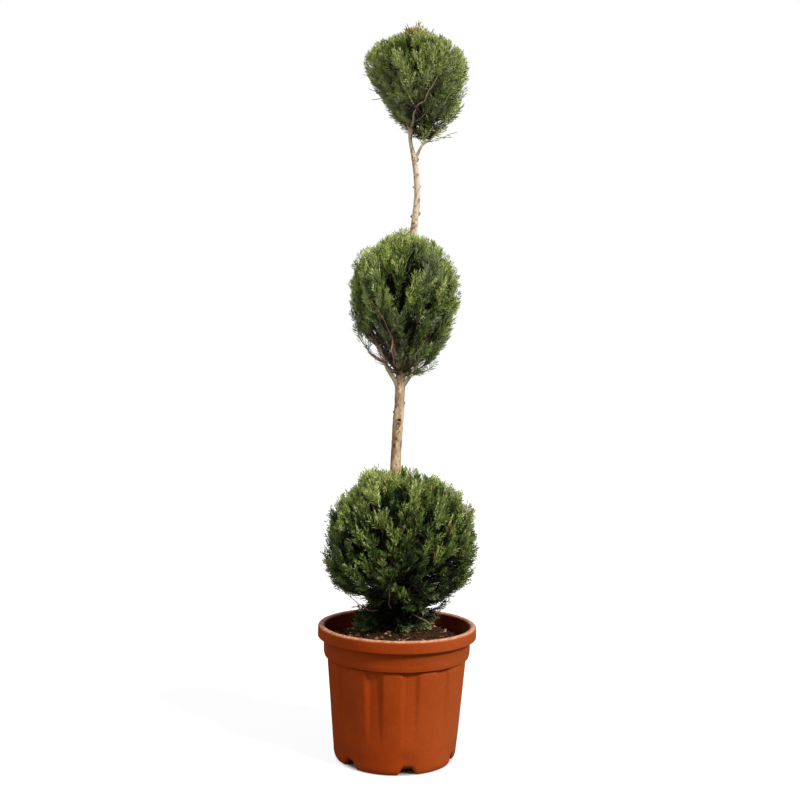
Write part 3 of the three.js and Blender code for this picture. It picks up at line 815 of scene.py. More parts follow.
def limb_rings(path, radii, columns, level=False):
    """Rings of points round a path, and the direction of each point from the path."""
    along = np.tile((0.0, 0.0, 1.0), (len(path), 1)) if level else unit(np.gradient(path, axis=0))
    span = unit(path[-1] - path[0])
    reference = np.array((1.0, 0, 0) if abs(span[0]) < 0.8 else (0, 1.0, 0))
    binormal = unit(np.cross(reference, along))
    normal = np.cross(along, binormal)
    angle = np.linspace(0, 2 * math.pi, columns, endpoint=False)
    outward = (normal[:, None] * np.cos(angle)[None, :, None]
               - binormal[:, None] * np.sin(angle)[None, :, None])
    return path[:, None] + outward * np.asarray(radii)[..., None, None], outward


def on_trunk(height, azimuth=0, out=0):
    """A point at a height in the trunk, or so far out from its middle in a direction."""
    x, y = (np.interp(height, TRUNK_STATIONS[:, 2], TRUNK_STATIONS[:, i]) for i in (0, 1))
    turn = math.radians(azimuth)
    return np.array((x + out * math.cos(turn), y + out * math.sin(turn), height))


def bark_relief(points, outward, radii):
    """Long shallow folds, ripples and fine flakes, in shares of the limb's own thickness."""
    tall = points * (1, 1, FOLD_STRETCH)
    folds = FOLD_DEPTH * ripples(tall, length=17, count=14, seed=21)
    flakes = RIPPLE_DEPTH * ripples(tall, length=6, count=16, seed=22)
    flakes += FLAKE_DEPTH * ripples(points, length=2.6, count=16, seed=23)
    return points + outward * ((folds + flakes) * np.asarray(radii)[..., None])[..., None]


def trunk_skin():
    """The trunk's bark, and how dark, speckled and pale each of its points is: dark at scars and with
    earth stain and painted shade at the foot, pale higher up and with painted light on its lit side.
    """
    path, radii = smooth_path(TRUNK_STATIONS, TRUNK_ROWS)
    flare = np.exp(-(path[:, 2] - SOIL_HEIGHT) / ROOT_FLARE_HEIGHT)
    rings, outward = limb_rings(path, radii + ROOT_FLARE * flare, TRUNK_COLUMNS, level=True)
    angle = np.arctan2(outward[..., 1], outward[..., 0])
    rings += outward * (FLUTE_DEPTH * flare[:, None] * np.sin(FOOT_FLUTES * angle + 0.7))[..., None]
    rings = bark_relief(rings, outward, radii)
    stain, blotch = np.zeros((2, *rings.shape[:2]))

    def distance_from(height, azimuth, size, tall):
        """How far each point is from a spot on the trunk, in shares of the spot's size."""
        spot = on_trunk(height, azimuth, np.interp(height, path[:, 2], radii))
        return np.linalg.norm((rings - spot) / (1, 1, tall), axis=-1) / size

    for scar in SCARS:
        distance = distance_from(*scar)
        hollow = np.exp(-(distance * 1.6) ** 2) - 0.9 * np.exp(-((distance - 1.1) * 2) ** 2)
        rings -= outward * (SCAR_DEPTH * scar[2] * hollow)[..., None]
        stain = np.maximum(stain, SCAR_STAIN * np.exp(-distance**2))
    for patch in BLOTCHES:
        blotch = np.maximum(blotch, np.exp(-distance_from(*patch) ** 2))
    specks = ripples(rings, length=SPECK_LENGTH, count=16, seed=24)
    blotch = blotch * smooth_step(specks, *PATCH_SPECKS)
    blotch = np.maximum(blotch, LONE_SPECK_STAIN * smooth_step(specks, *LONE_SPECKS))
    # Earth stain and painted shade on the trunk's foot
    stain = np.maximum(stain, FOOT_EARTH_AND_SHADE * (1 - smooth_step(rings[..., 2], *FOOT_SHADE_HEIGHTS)))
    rings[0, :, 2] = path[0, 2]
    points, faces = closed_grid(rings)
    marks = {
        "stain": np.append(stain, (0, 0)),
        "blotch": np.append(blotch, (0, 0)),
        # Paler higher up, with painted light on the lit side
        "bleach": bleach(points),
    }
    return points, faces, marks


def bleach(points):
    """How pale the bark is: paler under the top ball, and with painted light on its side towards the key
    light.
    """
    axis = on_trunk(points[:, 2])[:2].T
    # Painted light on the side that the key light falls on
    sunny = (points[:, :2] - axis) @ KEY_LIGHT_WAY
    high = smooth_step(points[:, 2], *BLEACH_HEIGHTS)
    return np.clip(BLEACH_LOW + BLEACH_HIGH * high + PAINTED_LIGHT_SIDE * sunny, 0, 1)


def stub_skin(height, azimuth, radius, length):
    """A pruned stub: a collar of bark that has rolled in round a dark, sunken cut."""
    start = on_trunk(height)
    turn = math.radians(azimuth)
    reach = unit(np.array((math.cos(turn), math.sin(turn), STUB_RISE)))
    share, width, dark = STUB_PROFILE.T
    path = start + share[:, None] * reach * length
    radii = radius * width
    side = unit(np.cross((0, 0, 1.0), reach))
    over = np.cross(reach, side)
    angle = np.linspace(0, 2 * math.pi, STUB_COLUMNS, endpoint=False)
    outward = np.cos(angle)[:, None] * side + np.sin(angle)[:, None] * over
    rings = path[:, None] + outward[None] * radii[:, None, None]
    relief = STUB_RELIEF * radius * ripples(rings, length=5, count=10, seed=height)
    rings += relief[..., None] * outward[None]
    points, faces = closed_grid(rings)
    marks = {
        "stain": np.append(np.repeat(dark, STUB_COLUMNS), (0, 1)),
        "blotch": np.zeros(len(points)),
        # Paler higher up, with painted light on the lit side
        "bleach": bleach(points),
    }
    return points, faces, marks


def bark_finish(name, pale, tan, brown):
    """Bark in three shades that run along the limb, paler or darker where its mesh is marked."""
    finish = Finish(name, stretch=(1, 1, STREAK_STRETCH))
    finish.shader.inputs["Specular IOR Level"].default_value = BARK_GLOSS
    streak = finish.mottled(scale=105, detail=4, low=0.42, high=0.62)
    patch = finish.mottled(scale=48, detail=5, low=0.52, high=0.66)
    fleck = finish.mottled(scale=260, detail=5, low=0.52, high=0.66)
    stain = finish.attribute("stain")
    colour = finish.mixed(streak.outputs["Mask"], tan, pale)
    colour = finish.mixed(patch.outputs["Mask"], colour, brown, share=0.65)
    # Paler where the mesh is marked, with painted light on the trunk's lit side
    colour = finish.mixed(finish.attribute("bleach"), colour, BARK_BLEACHED_AND_LIT)
    colour = finish.mixed(fleck.outputs["Mask"], colour, brown, share=0.5)
    colour = finish.mixed(finish.attribute("blotch"), colour, brown)
    # Darker at scars, cuts and stains, and with earth stain and painted shade at the trunk's foot
    colour = finish.mixed(stain, colour, brown, share=1.6)
    finish.feed("Base Color", finish.mixed(finish.product(stain, stain), colour, KNOT_AND_SHADE_DARK))
    finish.feed("Roughness", finish.ranged(streak.outputs["Noise"], low=0.65, high=0.95))
    finish.bumped(fleck.outputs["Noise"], strength=0.5, distance=0.0012)
    return finish.material


def marked_piece(name, skins, material):
    """One piece of several skins, each with marks for its points."""
    piece = new_piece(name, *joined([skin[:2] for skin in skins]), material, sharp_angle=80)
    mark(piece, {key: np.concatenate([skin[2][key] for skin in skins]) for key in skins[0][2]})
    return piece


trunk_bark = bark_finish("pale_bark", BARK_PALE, BARK_TAN, BARK_BROWN)
trunk = marked_piece("trunk_bark", [trunk_skin()] + [stub_skin(*stub) for stub in STUBS], trunk_bark)
fit(trunk, "bark", "trunk")


# Boughs
# Each mass of foliage hangs on one limb, thinner and redder than the trunk. It leaves the
# trunk in a swollen collar and runs on inside the mass as the stem that its twigs grow from.

# Balls: an egg of that radius, rising and falling so far from its widest height. Its underside
# is round at a power of 2, fuller above that and more of a cone below it. The foliage goes on
# down to the foot, no narrower than the skirt, and fans out from the fork.
BALLS = {
    "bottom": dict(
        x=4, middle=470, radius=168, up=168, down=135, under=2.6,
        foot=186, skirt=80, lean=0, fork=380,
    ),
    "mid": dict(
        x=1, middle=1030, radius=119, up=127, down=190, under=2,
        foot=190, skirt=20, lean=0, fork=850,
    ),
    "top": dict(
        x=16, middle=1530, radius=115, up=63, down=168, under=1.5,
        foot=168, skirt=20, lean=-0.17, fork=1392,
    ),
}
# Masses: azimuth in degrees from +X, height and reach as shares of the ball, then the bough's
# height on the trunk, its radii, how far its elbow is moved, and the share of its way out
PLAIN = ((6, 3.4), (0, 0, -6), 0.42)
MASSES = {
    "bottom_front": (270, 0, 0.5, 302, *PLAIN),
    "bottom_right": (342, 0, 0.5, 311, *PLAIN),
    "bottom_back_right": (54, 0, 0.5, 300, *PLAIN),
    "bottom_back_left": (126, 0, 0.5, 313, *PLAIN),
    "bottom_left": (198, 0, 0.5, 305, *PLAIN),
    "mid_low_left": (196, -0.6, 0.68, 811, (6.4, 3.2), (0, 0, -6), 0.86),
    "mid_left": (210, 0.04, 0.68, 842, (4.4, 2.2), (6, -6, 0), 0.78),
    "mid_right": (338, -0.5, 0.6, 809, (5.2, 2.6), (4, 0, -8), 0.8),
    "mid_upper_right": (328, 0.4, 0.52, 985, (4, 2.4), (0, 0, -6), 0.6),
    "mid_back_left": (128, -0.06, 0.56, 850, (5, 2.6), (0, 0, -6), 0.72),
    "mid_back_right": (48, -0.1, 0.56, 868, (5, 2.6), (0, 0, -6), 0.7),
    "top_left": (212, -0.02, 0.52, 1382, (3.4, 2), (-2, 0, -6), 0.66),
    "top_right": (318, 0.02, 0.52, 1384, (3.8, 2.2), (-3, -4, -3), 0.76),
    "top_low_right": (344, -0.86, 0.86, 1318, (3.4, 2), (-5, 0, 9), 0.64),
    "top_back_left": (128, -0.04, 0.5, 1380, (3.4, 2), (0, 2, -6), 0.64),
    "top_back_right": (50, -0.04, 0.5, 1378, (3.4, 2), (0, 2, -6), 0.64),
}
# Masses whose stem runs on past their middle
LONG_STEMS = ("mid_low_left", "top_low_right")
LONG_STEM_REACH = 1.32
STEM_TIP_RADIUS = 1.2
BOUGH_WANDER = 3.2
BOUGH_WAVE = 62
COLLAR_SWELL = 0.3
COLLAR_LENGTH = 12
BOUGH_RELIEF = 1.4
BOUGH_BLEACH = 0.55
BOUGH_BLEACH_END = (30, 180)
BOUGH_STAIN = 0.5
BOUGH_COLUMNS = 14
BOUGH_ROWS = 60
BOUGH_PALE = (0.430, 0.280, 0.160)
BOUGH_TAN = (0.270, 0.148, 0.074)
BOUGH_BROWN = (0.110, 0.052, 0.027)


def ball_of(mass):
    """The name of a mass's ball."""
    return mass.split("_")[0]


def masses_of(name):
    """The masses of one ball."""
    return [mass for mass in MASSES if ball_of(mass) == name]


def ball_axis(ball, height):
    """Where a ball's axis is at a height, for a ball that leans under its widest part."""
    return ball["x"] + np.minimum(height - ball["middle"], 0) * ball["lean"]


def ball_point(ball, azimuth, height, reach):
    """A point at that height share (1 top, 0 widest, -1 foot), azimuth and reach."""
    rise = height * (ball["up"] if height > 0 else ball["foot"])
    share = min(abs(rise) / (ball["up"] if height > 0 else ball["down"]), 1)
    power = 2 if height > 0 else ball["under"]
    radius = max(ball["radius"] * (1 - share**power) ** (1 / power), ball["skirt"]) * reach
    z = ball["middle"] + rise
    return np.array((ball_axis(ball, z) + radius * math.cos(azimuth), radius * math.sin(azimuth), z))


def mass_site(mass):
    """The middle of a mass."""
    azimuth, height, reach = MASSES[mass][:3]
    return ball_point(BALLS[ball_of(mass)], math.radians(azimuth), height, reach)


def bough_stations(mass):
    """Stations of a bough and of the stem that goes on from its tip to the mass's middle."""
    height, radii, elbow, share = MASSES[mass][3:]
    start = on_trunk(height)
    site = mass_site(mass)
    end = start + (site - start) * share
    middle = (start + end) / 2 + np.array(elbow)
    tip = end + (site - end) * (LONG_STEM_REACH if mass in LONG_STEMS else 1)
    mean = (radii[0] + radii[1]) / 2
    return [(*start, radii[0]), (*middle, mean), (*end, radii[1]), (*tip, STEM_TIP_RADIUS)]


def crooked(path, wander, length, seeds):
    """A path that wanders to either side in waves of that length, and keeps its ends."""
    sway = np.stack([ripples(path, length=length, count=6, seed=seed) for seed in seeds], axis=-1)
    return path + wander * sway * np.sin(math.pi * np.linspace(0, 1, len(path)))[:, None]


def bough_path(mass):
    """Places and radii along a bough and its stem, a little crooked on the way."""
    path, radii = smooth_path(bough_stations(mass), BOUGH_ROWS)
    return crooked(path, BOUGH_WANDER, BOUGH_WAVE, seeds=(41, 42, 43)), radii


def bough_skin(mass):
    """A bough's bark, stained here and there and paler near the trunk."""
    path, radii = bough_path(mass)
    run = run_along(path)
    radii = radii * (1 + COLLAR_SWELL * np.exp(-(run / COLLAR_LENGTH) ** 2))
    rings, outward = limb_rings(path, radii, BOUGH_COLUMNS)
    rings = bark_relief(rings, outward, radii * BOUGH_RELIEF)
    stain = BOUGH_STAIN * smooth_step(ripples(rings, length=9, count=12, seed=31), 1.3, 2.2)
    pale = BOUGH_BLEACH * (1 - smooth_step(run, *BOUGH_BLEACH_END))
    pale = np.broadcast_to(pale[:, None], stain.shape)
    points, faces = closed_grid(rings)
    marks = {"stain": np.append(stain, (0, 0)), "bleach": np.append(pale, (0.5, 0))}
    return points, faces, marks


bough_bark = bark_finish("red_bark", BOUGH_PALE, BOUGH_TAN, BOUGH_BROWN)
for name in BALLS:
    boughs = marked_piece(f"boughs_{name}", [bough_skin(mass) for mass in masses_of(name)], bough_bark)
    fit(boughs, "bark", *(f"bough_{mass}" for mass in masses_of(name)))


# Shoots
# The rule by which a ball grows: shoots are dealt out over its clipped outline by the golden
# angle, and turn up and outwards from its fork. Each is a plume of side twigs, set with flat
# scaly sprays in turn on either side, that the shears have cut off at the outline.

# Sets of shoots: out to the outline, inside it, low under the ball, loose at the foot, round
# the trunk at the head, and in the tuft on top. Then how far out those end that stay inside,
# and how low the low ones are.
SHOOT_SETS = {
    "bottom": {"outer": 420, "inner": 130, "foot": 130, "crest": 20},
    "mid": {"outer": 250, "inner": 70, "under": 56},
    "top": {"outer": 210, "inner": 48, "under": 60, "tuft": 44},
}
INSIDE_REACH = {"inner": (0.42, 0.76), "under": (0.6, 0.96)}
UNDER_HEIGHTS = (-0.92, -0.15)
BALL_SEEDS = {"bottom": 3, "mid": 5, "top": 8}
# Shoots at the foot: where they begin, how far out and how high over the compost they end,
# and the azimuths at the front where they keep close to the trunk and the compost shows
FOOT_SHARE = -0.66
FOOT_REACH = (34, 78)
FOOT_RISE = (8, 76)
FOOT_GAP = (math.radians(228), math.radians(312))
FOOT_GAP_REACH = (24, 40)
# The tuft on the top ball: its middle, how far out its shoots stand, and how high they end
TUFT = dict(x=15, spread=19, top=(1569, 1577))
# Shoots that stand up round the trunk on the bottom ball: how far out and how high they end
CREST_X = (-80, 24)
CREST_Y = (-42, 42)
CREST_TOP = (588, 610)
GOLDEN_ANGLE = math.pi * (3 - math.sqrt(5))
AZIMUTH_SPREAD = 0.15
# How far a plume leans away from the fork, straight out of the ball, and up
LEAN = (1.2, 0.4, 0.5)
LOWEST_TILT = -0.45
LEAN_WANDER = 0.12
FOOT_LEAN = (-0.25, 0.8)
FOOT_WANDER = 0.2
UPRIGHT_LEAN = 0.15
# The stretch of a mass's stem that its shoots leave from, and how far they bend up to the plume
STEM_STRETCH = (0.1, 0.95)
SHOOT_BEND = 0.45
# Plumes: the share of a shoot that they take up, their most length and that of short ones, how
# much single lengths vary, where the twig ends, and how far it bows aside and up
PLUME_SHARE = 0.86
PLUME_LENGTH = {"bottom": 84, "mid": 104, "top": 98}
SHORT_PLUMES = ("foot", "tuft", "under", "crest")
SHORT_PLUME_LENGTH = 50
LENGTH_SPREAD = (0.85, 1.15)
PLUME_TWIG_END = 0.94
PLUME_BOW = 0.06
PLUME_LIFT = (-0.05, 0.02)
# Radii of twigs: a shoot's where it starts, at its plume and at its tip, then those of a side
# twig and of a wisp at either end
SHOOT_START_RADIUS = (1.4, 1.9)
PLUME_RADII = (1.1, 0.5)
SIDE_TWIG_RADII = (0.75, 0.4)
WISP_RADII = (0.7, 0.35)
# Side twigs: how many a plume has, one fewer low down, the share of its length where they
# start and that they span, and their own share of its length
SIDE_TWIGS = 5
FEWER_TWIGS_UNDER = -0.35
SIDE_TWIG_START = 0.26
SIDE_TWIG_SPAN = 0.54
SIDE_TWIG_SHARE = 0.36
SIDE_TWIG_CURVE = 0.14
SIDE_TWIG_ANGLE = (0.24, 0.42)
FIRST_SPRAY = (0.15, 0.3)
SPRAY_PITCH = 13
LAST_SPRAY_GAP = 3
SPRAY_ANGLE = (0.16, 0.46)
SPRAY_LENGTH = (29, 44)
SPRAY_ROLL = 0.6
SPRAY_TILT = 0.12
END_SPRAY_ANGLE = 0.1
SPRAY_KINDS = 6
CLIP_REACH = 0.985
SHORTEST_CUT = 0.55
UNEVENNESS = 0.03
UNEVEN_LENGTH = 90
PLUME_RAGGEDNESS = 0.025
SPRAY_RAGGEDNESS = 0.02
STRAY_SHARE = 0.2
STRAY_REACH = (0.03, 0.09)
MOST_RAGGED = 0.1
# Room kept off the trunk, which is checked at so many places for what is that near in height.
# Then the room over the compost at a spray's tip and root, and the shares of its length that
# are checked for limbs and gaps.
LIMB_CLEARANCE = 3
TRUNK_CHECKS = 120
TRUNK_CHECK_REACH = 8
SOIL_TIP_CLEARANCE = 4
SOIL_ROOT_CLEARANCE = 3
CHECKED_SHARES = (0.35, 0.7, 1)
# Dark clefts at the front of a ball: the azimuth in degrees at the foot and at the head, half
# the width, the height shares that it spans, and how far in its shoots start
CLEFTS = (
    dict(ball="mid", azimuths=(262, 292), half=9, heights=(-0.15, 0.66), reach=0.62),
    dict(ball="mid", azimuths=(279, 285), half=10, heights=(-0.5, -0.22), reach=0.66),
    dict(ball="top", azimuths=(250, 258), half=8, heights=(0.12, 0.62), reach=0.7),
    dict(ball="top", azimuths=(289, 289), half=6, heights=(0.05, 0.4), reach=0.74),
    dict(ball="top", azimuths=(238, 240), half=5, heights=(-0.12, 0.16), reach=0.74),
    dict(ball="top", azimuths=(293, 297), half=5, heights=(-0.22, -0.02), reach=0.74),
    dict(ball="bottom", azimuths=(262, 266), half=5, heights=(0.5, 0.85), reach=0.84),
)
# The trunk shows bare from this height up, with so much kept clear to either side. Sprays less
# than so far behind a bare limb count as in front of it.
BARE_TRUNK_FOOT = 1330
BARE_TRUNK_STRIP = 7
BEHIND_LIMB = 4
# Limbs that show bare in front, the share of their length that does, and the strip kept clear
BARE_LIMBS = {
    "mid_low_left": (0.0, 0.5, 9),
    "top_low_right": (0.0, 0.5, 4),
}
# Masses that are only thinly set, and from which share of their limb on wisps hang along it
THIN_MASSES = {"mid_low_left": 2}
WISPS = {"mid_low_left": 0.6, "top_low_right": 0.24}
WISP_PITCH = 5
WISP_LENGTH = (20, 44)
WISP_RISE = 0.18
# How far a wisp leans along its limb, out from it and up, and how much that varies
WISP_LEAN = (0.7, 0.7, 0.4)
WISP_WANDER = 0.15
WISP_LIMIT = {"bottom": 1.06, "mid": 1.06, "top": 1.25}
# Bare twigs at the face or edge of a ball: the limb and the share of it that they leave from,
# their radius there, how wide a strip is kept clear in front of them, the share of their own
# length from which wisps hang on them, then the points that they pass
EDGE_TWIGS = (
    ("bottom_left", 0.6, 1.2, 0, 0.7, ((-120, -40, 420), (-150, -46, 430), (-166, -48, 441))),
    ("bottom_left", 0.5, 1.2, 0, 0.7, ((-110, -30, 392), (-140, -34, 404), (-164, -36, 416))),
    ("bottom_left", 0.2, 1.6, 3, 0.5, ((-64, -50, 330), (-94, -58, 352), (-124, -62, 382))),
    ("bottom_right", 0.15, 1.1, 0, 0.1, ((30, -40, 322), (58, -54, 312), (76, -58, 298))),
    ("bottom_front", 0.2, 1.4, 4, 0.8, ((-19, -70, 351), (-19, -78, 368), (-17, -84, 385))),
    ("mid_low_left", 0.44, 1.8, 5, 0.3, (
        (-66, -18, 883), (-81, -24, 899), (-98, -28, 934), (-103, -28, 962),
    )),
    ("mid_low_left", 0.56, 1.6, 5, 0.5, ((-62, -24, 912), (-72, -34, 940))),
    ("mid_low_left", 0.30, 1.3, 5, 0.8, ((-32, -12, 872), (-29, -16, 886))),
    ("mid_left", 0.06, 2.3, 6, 0.8, (
        (-19, -40, 866), (-22, -64, 896), (-33, -84, 940), (-70, -94, 998),
    )),
    ("top_right", 0.03, 2.7, 7, 0.8, (
        (14, -26, 1400), (18, -46, 1422), (44, -74, 1446), (63, -88, 1477),
    )),
    ("top_right", 0.22, 1.5, 5, 0.8, ((2, -34, 1424), (-9, -42, 1428))),
    ("top_right", 0.10, 1.3, 3, 0.5, ((30, -34, 1404), (41, -40, 1412))),
    ("top_left", 0.95, 1.2, 0, 1, ((-77, -8, 1498), (-99, -9, 1503))),
    ("top_left", 0.80, 1.2, 0, 1, ((-63, -14, 1463), (-86, -16, 1469))),
    ("top_left", 0.70, 1.2, 0, 1, ((-60, -10, 1452), (-79, -12, 1446))),
)
EDGE_TWIG_TIP = 0.6
EDGE_TWIG_WANDER = 1.0
EDGE_TWIG_WAVE = 30
EDGE_TWIG_ROWS = 8
# Gaps that the sky shows through: where they are seen, and their half width and half height.
# Then the room that sprays leave round them.
SKY_GAPS = {
    "bottom": ((-88, 346, 8, 11), (-73, 337, 9, 8), (73, 330, 9, 6), (58, 344, 3, 5), (67, 400, 3, 3)),
    "mid": (
        (-86, 920, 6, 10), (-66, 906, 3, 10), (-69, 888, 10, 9), (-43, 883, 6, 11), (-33, 877, 6, 8),
        (-24, 858, 7, 12), (-46, 955, 3, 7), (-58, 950, 2, 4), (-65, 939, 2, 5), (-5, 918, 4, 8),
        (55, 928, 3, 8), (19, 859, 2, 4), (22, 950, 2, 2),
    ),
    "top": (
        (-81, 1526, 3, 4), (-37, 1526, 2, 4), (-24, 1503, 3, 5), (94, 1563, 3, 5), (74, 1407, 3, 5),
        (61, 1397, 2, 4),
    ),
}
GAP_CLEARANCE = {"bottom": 1.5, "mid": 2.5, "top": 4}
# Where the camera stands. The bare limbs and the gaps are laid out as seen from there.
VIEWPOINT = np.array((-3.5, -2263, 786))
# What is known of each plume and of each spray
PLUME = np.dtype([
    ("set", "U8"), ("height", float), ("azimuth", float), ("ragged", float),
    ("in_cleft", bool), ("luck", float), ("light", float),
])
SPRAY = np.dtype([
    ("root", float, 3), ("along", float, 3), ("normal", float, 3),
    ("length", float), ("plume", int), ("share", float),
])


def outline_share(ball, points):
    """How far points are out from a ball's middle: 1 on its clipped outline."""
    rise = points[..., 2] - ball["middle"]
    share = np.abs(rise) / np.where(rise > 0, ball["up"], ball["down"])
    power = np.where(rise > 0, 2, ball["under"])
    out = np.hypot(points[..., 0] - ball_axis(ball, points[..., 2]), points[..., 1])
    egg = ((out / ball["radius"]) ** power + share**power) ** (1 / power)
    skirt = np.maximum(out / ball["skirt"], -rise / ball["foot"])
    return np.where(rise < 0, np.minimum(egg, skirt), egg)


def turned_about(vector, axis, angle):
    """A vector turned about a unit axis that it is square to."""
    return vector * math.cos(angle) + np.cross(axis, vector) * math.sin(angle)


def point_on(path, run, place):
    """The point of a path at that distance from its start, and the way that it heads there."""
    step = min(max(np.searchsorted(run, place), 1), len(path) - 1)
    point = np.array([np.interp(place, run, path[:, axis]) for axis in range(3)])
    return point, unit(path[step] - path[step - 1])


class Growth:
    """Twigs, sprays and plumes of one ball, as they grow."""

    def __init__(self, name):
        self.random = np.random.default_rng(BALL_SEEDS[name])
        self.twigs = []
        self.sprays = []
        self.plumes = []

    def start_plume(self, group, height, azimuth, ragged=0, in_cleft=False):
        """A new plume, that the twigs and sprays which follow belong to."""
        luck, light = self.random.uniform(), self.random.normal()
        self.plumes.append((group, height, azimuth, ragged, in_cleft, luck, light))

    def twig(self, places, start_radius, end_radius):
        """A twig along those places."""
        radii = np.linspace(start_radius, end_radius, len(places))
        self.twigs.append((np.asarray(places), radii))

    def set_sprays(self, path, side, length, shares):
        """Sprays in turn on either side of a twig, and one at its end."""
        random = self.random
        run = run_along(path)
        first = run[-1] * random.uniform(*FIRST_SPRAY)
        last = run[-1] - LAST_SPRAY_GAP
        places = np.arange(first, last - 1, SPRAY_PITCH)
        for i, place in enumerate(np.append(places, last)):
            root, ahead = point_on(path, run, place)
            normal = turned_about(unit(np.cross(ahead, side)), ahead, random.normal(0, SPRAY_ROLL))
            flat = np.cross(normal, ahead)
            if i == len(places):
                angle = random.normal(0, END_SPRAY_ANGLE)
            else:
                angle = random.uniform(*SPRAY_ANGLE) * (-1) ** i
            tilt = normal * random.normal(0, SPRAY_TILT)
            along = unit(ahead * math.cos(angle) + flat * math.sin(angle) + tilt)
            normal = unit(normal - along * normal.dot(along))
            size = length * random.uniform(*LENGTH_SPREAD)
            share = shares[0] + (shares[1] - shares[0]) * place / run[-1]
            self.sprays.append((root, along, normal, size, len(self.plumes) - 1, share))


def grow_plume(growth, stem, tip, along, length, side_twigs):
    """One shoot: its twig from the mass's stem, its side twigs, and the sprays on them."""
    random = growth.random
    spray_length = random.uniform(*SPRAY_LENGTH)
    base = tip - along * length
    share = np.clip((base[2] - stem[0][2]) / (2 * length), *STEM_STRETCH)
    start = stem[0] + (stem[1] - stem[0]) * share
    pull = base - along * np.linalg.norm(base - start) * SHOOT_BEND
    t = np.linspace(0, 1, 6)[:, None]
    inner = start * (1 - t) ** 2 + 2 * pull * t * (1 - t) + base * t**2
    level = unit(np.cross(along, (0, 0, 1.0)) + 1e-6)
    sway = level * random.normal(0, PLUME_BOW * length)
    sway += np.array((0, 0, random.uniform(*PLUME_LIFT) * length))
    outer = base + along * length * PLUME_TWIG_END * t + sway * (4 * t * (1 - t))
    growth.twig(inner, random.uniform(*SHOOT_START_RADIUS), PLUME_RADII[0])
    growth.twig(outer, *PLUME_RADII)
    roll = random.uniform(0, 2 * math.pi)
    growth.set_sprays(outer[2:], turned_about(level, along, roll), spray_length, (0.4, 1))
    run = run_along(outer)
    for k in range(side_twigs):
        place = SIDE_TWIG_START + SIDE_TWIG_SPAN * (k + random.uniform(0.2, 0.8)) / side_twigs
        root, _ = point_on(outer, run, place * run[-1])
        out = turned_about(level, along, roll + k * GOLDEN_ANGLE)
        angle = random.uniform(*SIDE_TWIG_ANGLE)
        heading = along * math.cos(angle) + out * math.sin(angle)
        reach = length * SIDE_TWIG_SHARE * (1.1 - 0.5 * place) * random.uniform(*LENGTH_SPREAD)
        u = np.linspace(0, 1, 3)[:, None]
        twig = root + heading * reach * u + along * SIDE_TWIG_CURVE * reach * u**2
        growth.twig(twig, *SIDE_TWIG_RADII)
        growth.set_sprays(twig, np.cross(along, out), spray_length, (place, place + 0.3))


def hang_wisps(growth, path):
    """Short side twigs all round a limb that shows, set with sprays."""
    random = growth.random
    run = run_along(path) if len(path) else [0]
    for i, place in enumerate(np.arange(0, run[-1], WISP_PITCH)):
        root, ahead = point_on(path, run, place)
        out = turned_about(unit(np.cross(ahead, (0, 0, 1.0))), ahead, i * GOLDEN_ANGLE)
        onward, outward, up = WISP_LEAN
        lean = ahead * onward + out * outward + (0, 0, up)
        heading = unit(lean + random.normal(0, WISP_WANDER, 3))
        u = np.linspace(0, 1, 4)[:, None]
        reach = random.uniform(*WISP_LENGTH)
        twig = root + heading * reach * u + np.array((0, 0, WISP_RISE)) * reach * u**2
        growth.twig(twig, *WISP_RADII)
        growth.set_sprays(twig, np.cross(heading, out), random.uniform(*SPRAY_LENGTH), (0.5, 1))


def mass_of(name, point):
    """The mass of a ball whose middle is nearest."""
    return min(masses_of(name), key=lambda mass: np.linalg.norm(point - mass_site(mass)))


def cleft_depth(name, azimuth, height):
    """How far in a shoot starts that lies in a cleft, or 0 if it lies in none."""
    for cleft in CLEFTS:
        low, high = cleft["heights"]
        off = math.degrees(azimuth) - np.interp(height, (low, high), cleft["azimuths"])
        if cleft["ball"] == name and low < height < high and abs(off) < cleft["half"]:
            return cleft["reach"]
    return 0


def unevenness(name, place, random):
    """How far a shoot ends off its ball's even outline: dented, swollen, or left as a stray."""
    swell = UNEVENNESS * ripples(place, length=UNEVEN_LENGTH, count=8, seed=BALL_SEEDS[name])
    is_stray = random.uniform() < STRAY_SHARE
    own = random.uniform(*STRAY_REACH) if is_stray else random.normal(0, PLUME_RAGGEDNESS)
    return min(swell + own, MOST_RAGGED)


